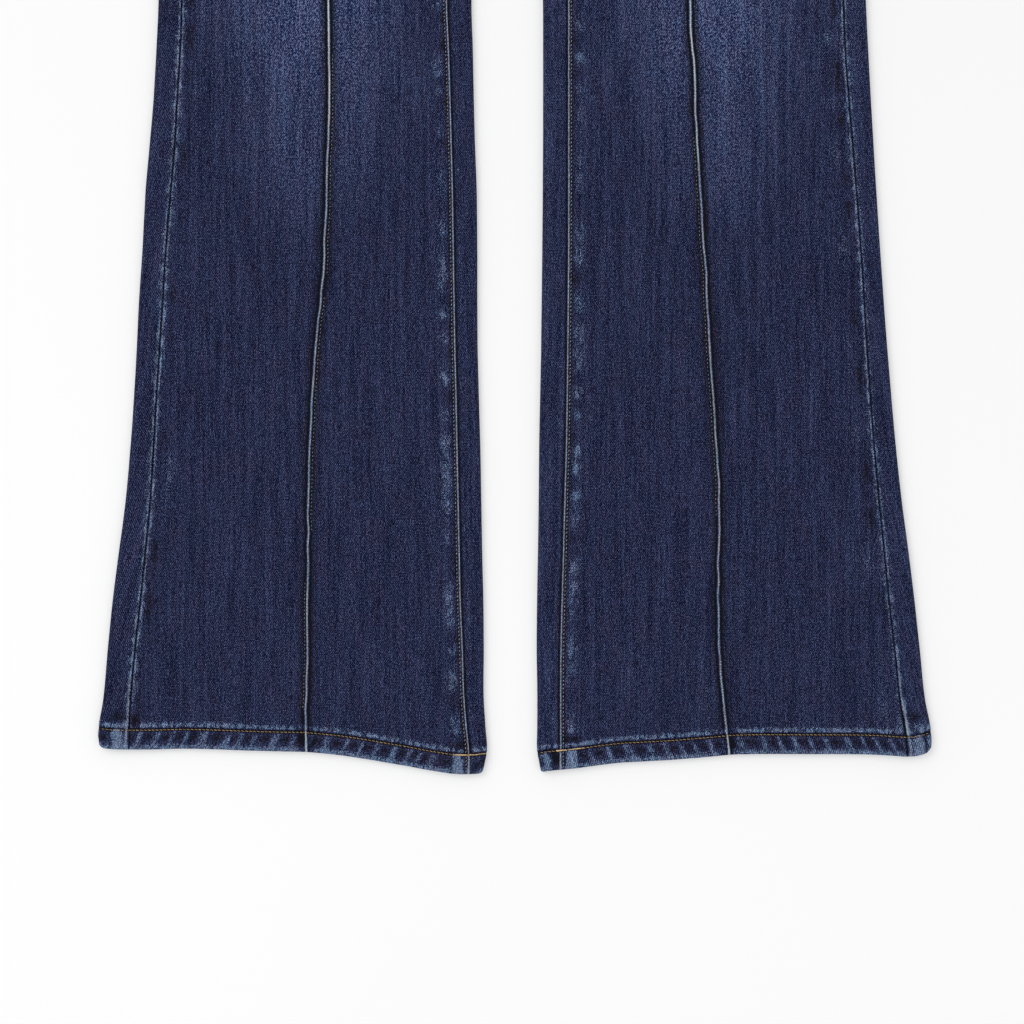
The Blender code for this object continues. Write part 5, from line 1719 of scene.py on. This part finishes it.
def front_path(side, low, high, placing):
    """A line on a front panel between two heights, at the distances that placing gives."""
    nominal = np.linspace(low, high, 2 + round((high - low) / 0.002))
    return front_cloth(side, nominal, placing).outer


def fly_paths(front):
    """The rows below and round the fly: two beside the centre seam, and the fly's own two."""
    paths = [level_line(front, "inner", off) for off in DOUBLE_ROWS]
    paths = [above_height(path, SEAT_SEAM_LOW, FLY_HEIGHTS[0]) for path in paths]
    ends = (FLY_LOW + 0.0005, WAIST_SEAM - 0.0005)
    return paths + [front_path(1, *ends, lambda height: fly_line(height, reach)) for reach in FLY_ROWS]


def fly_bar():
    """The bar tack at the foot of the fly."""
    line = front_path(1, *FLY_BAR, lambda height: front_lines(1, height)[2] + FLY_BAR_OFF)
    return bar(line[0], line[-1])


# Materials


class Wiring:
    """Adds nodes to a new material and joins them."""

    def __init__(self, name):
        self.material = bpy.data.materials.new(name)
        self.material.use_nodes = True
        self.tree = self.material.node_tree
        self.shader = self.tree.nodes["Principled BSDF"]

    def node(self, kind, **settings):
        """A new node with its settings."""
        made = self.tree.nodes.new(f"ShaderNode{kind}")
        for key, value in settings.items():
            setattr(made, key, value)
        return made

    def feed(self, socket, value):
        """Joins a socket to another, or gives it a number or colour."""
        if isinstance(value, bpy.types.NodeSocket):
            self.tree.links.new(value, socket)
        else:
            socket.default_value = value

    def math(self, operation, *values, clamp=False):
        """A sum of one, two or three values."""
        made = self.node("Math", operation=operation, use_clamp=clamp)
        for socket, value in zip(made.inputs, values):
            self.feed(socket, value)
        return made.outputs[0]

    def between(self, value, low, high, to_low=0.0, to_high=1.0):
        """A value's place between low and high, taken smoothly from to_low to to_high."""
        made = self.node("MapRange", interpolation_type="SMOOTHSTEP")
        for socket, given in zip(made.inputs, (value, low, high, to_low, to_high)):
            self.feed(socket, given)
        return made.outputs[0]

    def mix(self, share, low, high, blend="MIX"):
        """A colour between two others, or the product of two."""
        made = self.node("Mix", data_type="RGBA", blend_type=blend)
        self.feed(made.inputs["Factor"], share)
        for socket, value in ((made.inputs[6], low), (made.inputs[7], high)):
            self.feed(socket, value if isinstance(value, bpy.types.NodeSocket) else (*value, 1.0))
        return made.outputs[2]

    def attribute(self, name):
        """One of the mesh's own numbers."""
        return self.node("Attribute", attribute_name=name).outputs["Fac"]

    def stretched(self, vector, across, along):
        """Coordinates counted in steps of a size across and a size along."""
        made = self.node("VectorMath", operation="MULTIPLY")
        self.feed(made.inputs[0], vector)
        made.inputs[1].default_value = (1.0 / across, 1.0 / along, 1.0)
        return made.outputs[0]

    def relief(self, height, strength, distance):
        """Fine relief in the shading alone."""
        bump = self.node("Bump")
        bump.inputs["Strength"].default_value = strength
        bump.inputs["Distance"].default_value = distance
        self.feed(bump.inputs["Height"], height)
        self.feed(self.shader.inputs["Normal"], bump.outputs[0])

    def noise(self, vector, detail=1.0, roughness=0.5):
        """Soft noise about 0.5, a hump to each whole step."""
        made = self.node("TexNoise", noise_dimensions="2D")
        self.feed(made.inputs["Vector"], vector)
        made.inputs["Scale"].default_value = 1.0
        made.inputs["Detail"].default_value = detail
        made.inputs["Roughness"].default_value = roughness
        return made.outputs["Fac"]


def denim_material():
    """Right hand twill of indigo warp over white weft. Yarn numbers are the pattern's coordinates over the
    yarn spacing, and the weft shows where warp and weft numbers differ by a multiple of four. Noise makes
    yarns uneven, and the mesh's own numbers say where the cloth is sanded, rubbed light, bleached, or
    darkened by unwashed dye together with painted shade."""
    denim = bpy.context.scene.jeans_denim
    make = Wiring("washed_denim")
    pattern = make.node("UVMap", uv_map="cloth").outputs[0]
    worn, patchy, pale, faded = (make.attribute(word) for word in ("worn", "patchy", "pale", "faded"))
    waver = make.noise(make.stretched(pattern, 0.004, 0.004), 1.0)
    parts = make.node("SeparateXYZ")
    make.feed(parts.inputs[0], pattern)
    shift = make.math("MULTIPLY_ADD", waver, 0.0008, 0.0)
    warp = make.math("DIVIDE", make.math("ADD", parts.outputs[0], shift), denim.end)
    weft = make.math("DIVIDE", make.math("ADD", parts.outputs[1], shift), denim.pick)
    step = make.math("SUBTRACT", make.math("FLOOR", warp), make.math("FLOOR", weft))
    step = make.math("FLOORED_MODULO", step, 4.0)
    under = make.math("LESS_THAN", step, 0.5)
    warp_round = make.math("SINE", make.math("MULTIPLY", make.math("FRACT", warp), math.pi))
    weft_round = make.math("SINE", make.math("MULTIPLY", make.math("FRACT", weft), math.pi))
    dot = make.math("MULTIPLY", under, make.math("MULTIPLY", warp_round, weft_round))
    wale = make.math("MULTIPLY", make.math("SUBTRACT", warp, weft), math.pi / 2.0)
    wale = make.math("MULTIPLY_ADD", make.math("COSINE", wale), 0.5, 0.5)

    yarn = make.noise(make.stretched(pattern, 0.00042, 0.0060), 1.0)
    grain = make.noise(make.stretched(pattern, 0.00085, 0.00095), 2.0, 0.65)
    slub = make.noise(make.stretched(pattern, 0.0017, 0.045), 1.0)
    cloud = make.noise(make.stretched(pattern, 0.0050, 0.100), 1.0)
    coarse = make.noise(make.stretched(pattern, 0.0013, 0.0016), 1.0)
    tone = make.math("MULTIPLY", make.between(grain, 0.37, 0.65), 0.62)
    tone = make.math("MULTIPLY_ADD", make.math("SUBTRACT", yarn, 0.5), 0.9, tone)
    tone = make.math("MULTIPLY_ADD", make.math("SUBTRACT", slub, 0.5), 0.42, tone)
    tone = make.math("MULTIPLY_ADD", make.math("SUBTRACT", cloud, 0.5), 0.30, tone)
    speckled = make.math("SUBTRACT", coarse, 0.5)
    speckled = make.math("MULTIPLY", speckled, make.between(faded, 0.1, 1.1, 0.3, 1.8))
    tone = make.math("ADD", speckled, tone)
    tone = make.math("MULTIPLY_ADD", wale, 0.30, tone)
    tone = make.math("MULTIPLY_ADD", dot, 0.55, tone, clamp=True)
    tone = make.math("POWER", tone, 2.78)

    plain = make.mix(tone, denim.deep, denim.indigo)
    sanded = make.mix(tone, tuple(3.0 * value for value in denim.deep), denim.faded)
    patchy_fade = make.math("MULTIPLY_ADD", make.math("SUBTRACT", cloud, 0.5), 0.22, faded)
    base = make.mix(make.between(patchy_fade, 0.0, 1.2), plain, sanded)
    spots = make.noise(make.stretched(pattern, 0.0030, 0.0062), 2.0, 0.6)
    worn = make.math("MULTIPLY_ADD", patchy, make.between(spots, 0.38, 0.62, -0.8, 1.0), worn)
    speckled = make.math("MULTIPLY_ADD", make.math("SUBTRACT", grain, 0.5), 2.0, worn)
    rubbed = make.mix(tone, tuple(0.20 * value for value in denim.rubbed), denim.rubbed)
    base = make.mix(make.between(speckled, 0.15, 1.15), base, rubbed)
    # Below 0 the cloth goes to the darkest colour: unwashed dye in creases, and painted shade in grooves,
    # steps, gaps and hollows.
    base = make.mix(make.between(speckled, -0.15, -0.85), base, denim.unwashed_dye_and_shade)
    bleach = make.math("MULTIPLY_ADD", make.math("SUBTRACT", grain, 0.5), 0.5, pale)
    base = make.mix(make.between(bleach, 0.06, 0.95), base, denim.cotton)
    hue = make.between(make.noise(make.stretched(pattern, 0.009, 0.022), 2.0), 0.36, 0.64)
    base = make.mix(1.0, base, make.mix(hue, (0.93, 1.02, 1.03), (1.05, 0.98, 0.985)), "MULTIPLY")
    make.feed(make.shader.inputs["Base Color"], base)

    relief = make.math("MULTIPLY", warp_round, make.math("SUBTRACT", 1.0, make.math("MULTIPLY", under, 0.8)))
    make.relief(make.math("MULTIPLY_ADD", grain, 0.9, relief), 0.55, 0.00018)
    make.feed(make.shader.inputs["Roughness"], make.between(tone, 0.0, 1.0, 0.95, 0.82))
    make.shader.inputs["Specular IOR Level"].default_value = 0.02
    make.shader.inputs["Sheen Weight"].default_value = 0.01
    make.shader.inputs["Sheen Roughness"].default_value = 0.6
    make.material.diffuse_color = (*denim.indigo, 1.0)
    return make.material


def thread_material(kind):
    """Cotton thread: plies as fine noise on the object's coordinates, over uneven dye."""
    known = bpy.data.materials.get(f"thread_{kind}")
    if known:
        return known
    colour = tuple(getattr(bpy.context.scene.jeans_sewing, kind))
    make = Wiring(f"thread_{kind}")
    place = make.node("TexCoord").outputs["Object"]
    uneven = make.noise(make.stretched(place, 0.0030, 0.0030), 2.0)
    plies = make.noise(make.stretched(place, 0.00030, 0.00022), 1.0)
    tone = make.math("ADD", make.math("MULTIPLY", uneven, 0.8), make.math("MULTIPLY", plies, 0.5))
    dark, light = (tuple(share * value for value in colour) for share in (0.40, 1.15))
    make.feed(make.shader.inputs["Base Color"], make.mix(make.between(tone, 0.35, 0.95), dark, light))
    make.relief(plies, 0.4, 0.00010)
    make.feed(make.shader.inputs["Roughness"], make.between(plies, 0.2, 0.8, 0.78, 0.60))
    make.shader.inputs["Specular IOR Level"].default_value = 0.3
    return make.material


def metal_material(name, colour, tarnish):
    """Worn metal: brushed colour with darker, rougher tarnish in soft patches."""
    make = Wiring(name)
    place = make.node("TexCoord").outputs["Object"]
    patches = make.noise(make.stretched(place, 0.0025, 0.0025), 3.0)
    scratches = make.noise(make.stretched(place, 0.0016, 0.00012), 2.0)
    share = make.between(make.math("MULTIPLY_ADD", scratches, 0.3, patches), 0.45, 0.95)
    make.feed(make.shader.inputs["Base Color"], make.mix(share, colour, tarnish))
    make.feed(make.shader.inputs["Roughness"], make.between(share, 0.0, 1.0, 0.30, 0.52))
    make.shader.inputs["Metallic"].default_value = 1.0
    make.relief(scratches, 0.15, 0.0001)
    return make.material


# Operators


class JEANS_OT_fronts(bpy.types.Operator):
    """Make the two front panels and the cloth inside their pockets."""

    bl_idname = "jeans.fronts"
    bl_label = "Fronts"

    def execute(self, context):
        for word, side in SIDES.items():
            add_cloth(f"front_{word}", front_cloth(side))
            add_cloth(f"pocket_facing_{word}", facing_cloth(side))
        return {"FINISHED"}


class JEANS_OT_backs(bpy.types.Operator):
    """Make the two back panels, which wrap round the edges of the legs, and the yokes over them."""

    bl_idname = "jeans.backs"
    bl_label = "Backs and yokes"

    def execute(self, context):
        for word, side in SIDES.items():
            add_cloth(f"back_{word}", back_cloth(side))
            add_cloth(f"yoke_{word}", yoke_cloth(side))
        return {"FINISHED"}


class JEANS_OT_hems(bpy.types.Operator):
    """Make the two turned hems."""

    bl_idname = "jeans.hems"
    bl_label = "Hems"

    def execute(self, context):
        for word, side in SIDES.items():
            add_cloth(f"hem_{word}", hem_cloth(side), around=True)
        return {"FINISHED"}


class JEANS_OT_waist(bpy.types.Operator):
    """Make the waistband, its belt loops and the back pockets."""

    bl_idname = "jeans.waist"
    bl_label = "Waistband, loops and back pockets"

    def execute(self, context):
        add_cloth("waistband", band_cloth())
        for name in LOOPS:
            add_cloth(name, loop_cloth(name))
        for word, side in SIDES.items():
            add_cloth(f"pocket_back_{word}", pocket_cloth(side))
        return {"FINISHED"}


class JEANS_OT_metal(bpy.types.Operator):
    """Finish the button and the zip."""

    bl_idname = "jeans.metal"
    bl_label = "Button and zip"

    def execute(self, context):
        copper = metal_material("button_metal", (0.44, 0.25, 0.13), (0.16, 0.08, 0.05))
        brass = metal_material("zip_metal", (0.50, 0.38, 0.20), (0.22, 0.15, 0.08))
        for name, material in (("button", copper), ("zip", brass)):
            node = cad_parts[name]
            node.data.materials.clear()
            node.data.materials.append(material)
        return {"FINISHED"}


class JEANS_OT_leg_sewing(bpy.types.Operator):
    """Sew the inseams, the pintucks and the hems."""

    bl_idname = "jeans.leg_sewing"
    bl_label = "Sewing on the legs"

    def execute(self, context):
        sewing = context.scene.jeans_sewing
        for word, side in SIDES.items():
            hem = hem_cloth(side)
            ends = (PANEL_START, SEAM_ROW_HIGH)
            inseam = front_path(side, *ends, lambda height: front_lines(side, height)[2] + EDGE_STITCH)
            down = hem_lines(side, hem, across(side, "inseam", HEM_DEPTH / 2) + EDGE_STITCH)
            add_thread(f"inseam_stitches_{word}", sew([inseam, down], INSEAM_STITCH), "sand")
            paths = []
            for low, high, off in TUCK_STITCHES[side]:
                paths.append(front_path(side, low, high, lambda height: front_lines(side, height)[1] + off))
            add_thread(f"tuck_stitches_{word}", sew(paths, TUCK_STITCH), "sand")
            ring = hem.outer[STITCH_ROW]
            closed = np.concatenate([ring, ring[:1]])
            add_thread(f"hem_stitches_{word}", sew([closed], HEM_STITCH), "gold")
            distance = side * (ring[:, 0] - MIDDLE)
            rows = []
            for tack in HEM_TACKS[side]:
                there = (distance > tack.start) & (distance < tack.end) & (ring[:, 2] > HEM_RADIUS)
                path = evenly(ring[there] + np.array((0.0, 0.0, sewing.thread)), 0.0008)
                path[:, 1] += TACK_UNEVEN * wander(90 + side, path[:, 0] / 0.0016)
                rows.append(stitches_along(path, TACK_PITCH, sewing.thread, slant=0.75, span=tack.span))
            add_thread(f"hem_tacks_{word}", rows, "tack")
        return {"FINISHED"}


class JEANS_OT_seat_sewing(bpy.types.Operator):
    """Sew the seat and yoke seams, the front pockets' edges, the fly and the back pockets."""

    bl_idname = "jeans.seat_sewing"
    bl_label = "Sewing of the seat and pockets"

    def execute(self, context):
        for word, side in SIDES.items():
            front, back, yoke = front_cloth(side), back_cloth(side), yoke_cloth(side)
            outer_half = slice(0, front.outer.shape[1] // 2)
            scoop = [level_line(front, "scoop", off, part=outer_half) for off in DOUBLE_ROWS]
            scoop = [above_height(path, POCKET_LOW) for path in scoop]
            bars = [bar(scoop[0][end, :3], scoop[1][end, :3]) for end in (0, -1)]
            add_thread(f"front_pocket_stitches_{word}", sew(scoop, PLAIN_STITCH) + bars, "gold")
            seams = [level_line(back, "yoke", off, by_rows=False) for off in DOUBLE_ROWS]
            if side > 0:
                centre = [level_line(back, "inner", off) for off in DOUBLE_ROWS]
                seams += [above_height(path, SEAT_SEAM_LOW, BACK_SEAM_HIGH) for path in centre]
                seams += [level_line(yoke, "inner", off) for off in DOUBLE_ROWS]
            add_thread(f"seat_stitches_{word}", sew(seams, SEAT_STITCH), "gold")
            if side > 0:
                rows = sew(fly_paths(front), PLAIN_STITCH)
                add_thread("fly_stitches", [*rows, fly_bar()], "gold")
            pocket = pocket_cloth(side)
            middle = pocket.outer.shape[1] // 2
            seams = []
            for off in DOUBLE_ROWS:
                seams += [level_line(pocket, "sides", off, part=slice(0, middle))]
                seams += [level_line(pocket, "sides", off, part=slice(middle, None))]
                seams += [level_line(pocket, "foot", off * 1.02, by_rows=False)]
            seams += [level_line(pocket, "mouth", POCKET_MOUTH_ROW, by_rows=False)]
            add_thread(f"back_pocket_stitches_{word}", sew(seams, POCKET_STITCH), "gold")
        return {"FINISHED"}


class JEANS_OT_waist_sewing(bpy.types.Operator):
    """Sew the waistband's edges and the belt loops, and work the buttonhole."""

    bl_idname = "jeans.waist_sewing"
    bl_label = "Sewing of the waistband"

    def execute(self, context):
        band = band_cloth()
        points = outwards(band.outer, band.inner)
        row = BAND_STITCH_ROW
        lines = [points[row, 3:-3], points[-1 - row, 3:-3], points[row:-row, -4]]
        add_thread("waistband_stitches", sew(lines, BAND_STITCH), "gold")
        rows = []
        for name in LOOPS:
            cloth = loop_cloth(name)
            points = outwards(cloth.outer, cloth.inner)
            column = len(EDGE_ROWS)
            lines = [points[3:-3, column], points[3:-3, -1 - column]]
            rows += sew(lines, LOOP_STITCH)
            for row in (9, -10):
                rows.append(bar(points[row, 3, :3], points[row, -4, :3], points[row, 3, 3:]))
        add_thread("loop_stitches", rows, "gold")
        centre = np.array(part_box("button")).mean(axis=0)
        centre[2] = band.outer[len(BAND_ROWS), -20, 2] + 0.0002
        rows = [bar(centre + np.array(line.start), centre + np.array(line.end)) for line in BUTTONHOLE]
        add_thread("buttonhole", rows, "gold")
        return {"FINISHED"}


# The floor, the soft light and the camera.
FLOOR_HALF = 4.0
KEY_PLACE = (-1.9, 0.7, 2.6)
KEY_AIM = (0.0, -0.38, 0.0)
KEY_SIZE = 2.2
CAMERA_PLACE = (-0.0016, -0.3822)
SENSOR_WIDTH = 36.0
LENS = 103.4
WHITE = (1.0, 1.0, 1.0, 1.0)


def floor_material(studio):
    """A pale floor that gives off a little light, which lifts the shadows round the jeans, with painted light
    in its colour: darker in soft patches and a little darker towards the top, as if the light fell off there.
    """
    make = Wiring("floor")
    place = make.node("TexCoord").outputs["Object"]
    parts = make.node("SeparateXYZ")
    make.feed(parts.inputs[0], place)
    # Painted light falloff: the floor's colour is lighter towards the bottom, and darker in soft patches.
    share = make.math("MULTIPLY_ADD", make.noise(make.stretched(place, 0.6, 0.6), 2.0), 0.3, 0.0)
    share = make.math("ADD", share, make.between(parts.outputs[1], 0.20, -0.85, 0.0, 0.7), clamp=True)
    shade = tuple(0.90 * value for value in studio.floor)
    make.feed(make.shader.inputs["Base Color"], make.mix(share, shade, tuple(studio.floor)))
    make.shader.inputs["Emission Color"].default_value = WHITE
    make.shader.inputs["Emission Strength"].default_value = studio.glow
    make.shader.inputs["Roughness"].default_value = 0.9
    return make.material


class JEANS_OT_stage(bpy.types.Operator):
    """Lay the floor, and set the light and the camera over the lower legs."""

    bl_idname = "jeans.stage"
    bl_label = "Stage"

    def execute(self, context):
        scene = context.scene
        studio = scene.jeans_studio
        mesh = bpy.data.meshes.new("floor")
        corners = [(-1, -1), (1, -1), (1, 1), (-1, 1)]
        mesh.from_pydata([(x * FLOOR_HALF, y * FLOOR_HALF, 0.0) for x, y in corners], [], [(0, 1, 2, 3)])
        mesh.materials.append(floor_material(studio))
        floor = bpy.data.objects.new("floor", mesh)
        scene.collection.objects.link(floor)
        scene.world = bpy.data.worlds.new("studio")
        scene.world.use_nodes = True
        background = scene.world.node_tree.nodes["Background"]
        background.inputs["Strength"].default_value = studio.sky
        background.inputs["Color"].default_value = WHITE
        key = bpy.data.lights.new("key", "AREA")
        key.shape = "SQUARE"
        key.size = KEY_SIZE
        key.energy = studio.key
        light = bpy.data.objects.new("key", key)
        light.location = KEY_PLACE
        aim = np.array(KEY_AIM) - np.array(KEY_PLACE)
        tilt = math.acos(-aim[2] / np.linalg.norm(aim))
        light.rotation_euler = (tilt, 0.0, math.atan2(aim[1], aim[0]) - math.pi / 2)
        scene.collection.objects.link(light)
        camera = bpy.data.cameras.new("camera")
        camera.sensor_width = SENSOR_WIDTH
        camera.lens = LENS
        camera.clip_start = 0.05
        seen = bpy.data.objects.new("camera", camera)
        seen.location = (*CAMERA_PLACE, studio.camera_height)
        scene.collection.objects.link(seen)
        scene.camera = seen
        scene.view_settings.view_transform = "Standard"
        scene.cycles.denoising_prefilter = "NONE"
        return {"FINISHED"}


class JEANS_PT_panel(bpy.types.Panel):
    """The jeans' sizes, colours and steps."""

    bl_idname = "JEANS_PT_panel"
    bl_label = "Wide Leg Jeans"
    bl_space_type = "VIEW_3D"
    bl_region_type = "UI"
    bl_category = "Jeans"

    def draw(self, context):
        for name in ("jeans_denim", "jeans_sewing", "jeans_studio"):
            group = getattr(context.scene, name)
            box = self.layout.box()
            for key in group.bl_rna.properties.keys():
                if key not in ("rna_type", "name"):
                    box.prop(group, key)
        for operator in OPERATORS:
            self.layout.operator(operator.bl_idname)


OPERATORS = (
    JEANS_OT_fronts,
    JEANS_OT_backs,
    JEANS_OT_hems,
    JEANS_OT_waist,
    JEANS_OT_metal,
    JEANS_OT_leg_sewing,
    JEANS_OT_seat_sewing,
    JEANS_OT_waist_sewing,
    JEANS_OT_stage,
)
GROUPS = {"jeans_denim": JeansDenim, "jeans_sewing": JeansSewing, "jeans_studio": JeansStudio}


def register():
    for name, group in GROUPS.items():
        bpy.utils.register_class(group)
        setattr(bpy.types.Scene, name, bpy.props.PointerProperty(type=group))
    for operator in OPERATORS:
        bpy.utils.register_class(operator)
    bpy.utils.register_class(JEANS_PT_panel)


def unregister():
    bpy.utils.unregister_class(JEANS_PT_panel)
    for operator in reversed(OPERATORS):
        bpy.utils.unregister_class(operator)
    for name, group in GROUPS.items():
        delattr(bpy.types.Scene, name)
        bpy.utils.unregister_class(group)


def main():
    register()
    bpy.ops.jeans.fronts()
    bpy.ops.jeans.backs()
    bpy.ops.jeans.hems()
    bpy.ops.jeans.waist()
    bpy.ops.jeans.metal()
    bpy.ops.jeans.leg_sewing()
    bpy.ops.jeans.seat_sewing()
    bpy.ops.jeans.waist_sewing()
    bpy.ops.jeans.stage()


if __name__ == "__main__":
    main()
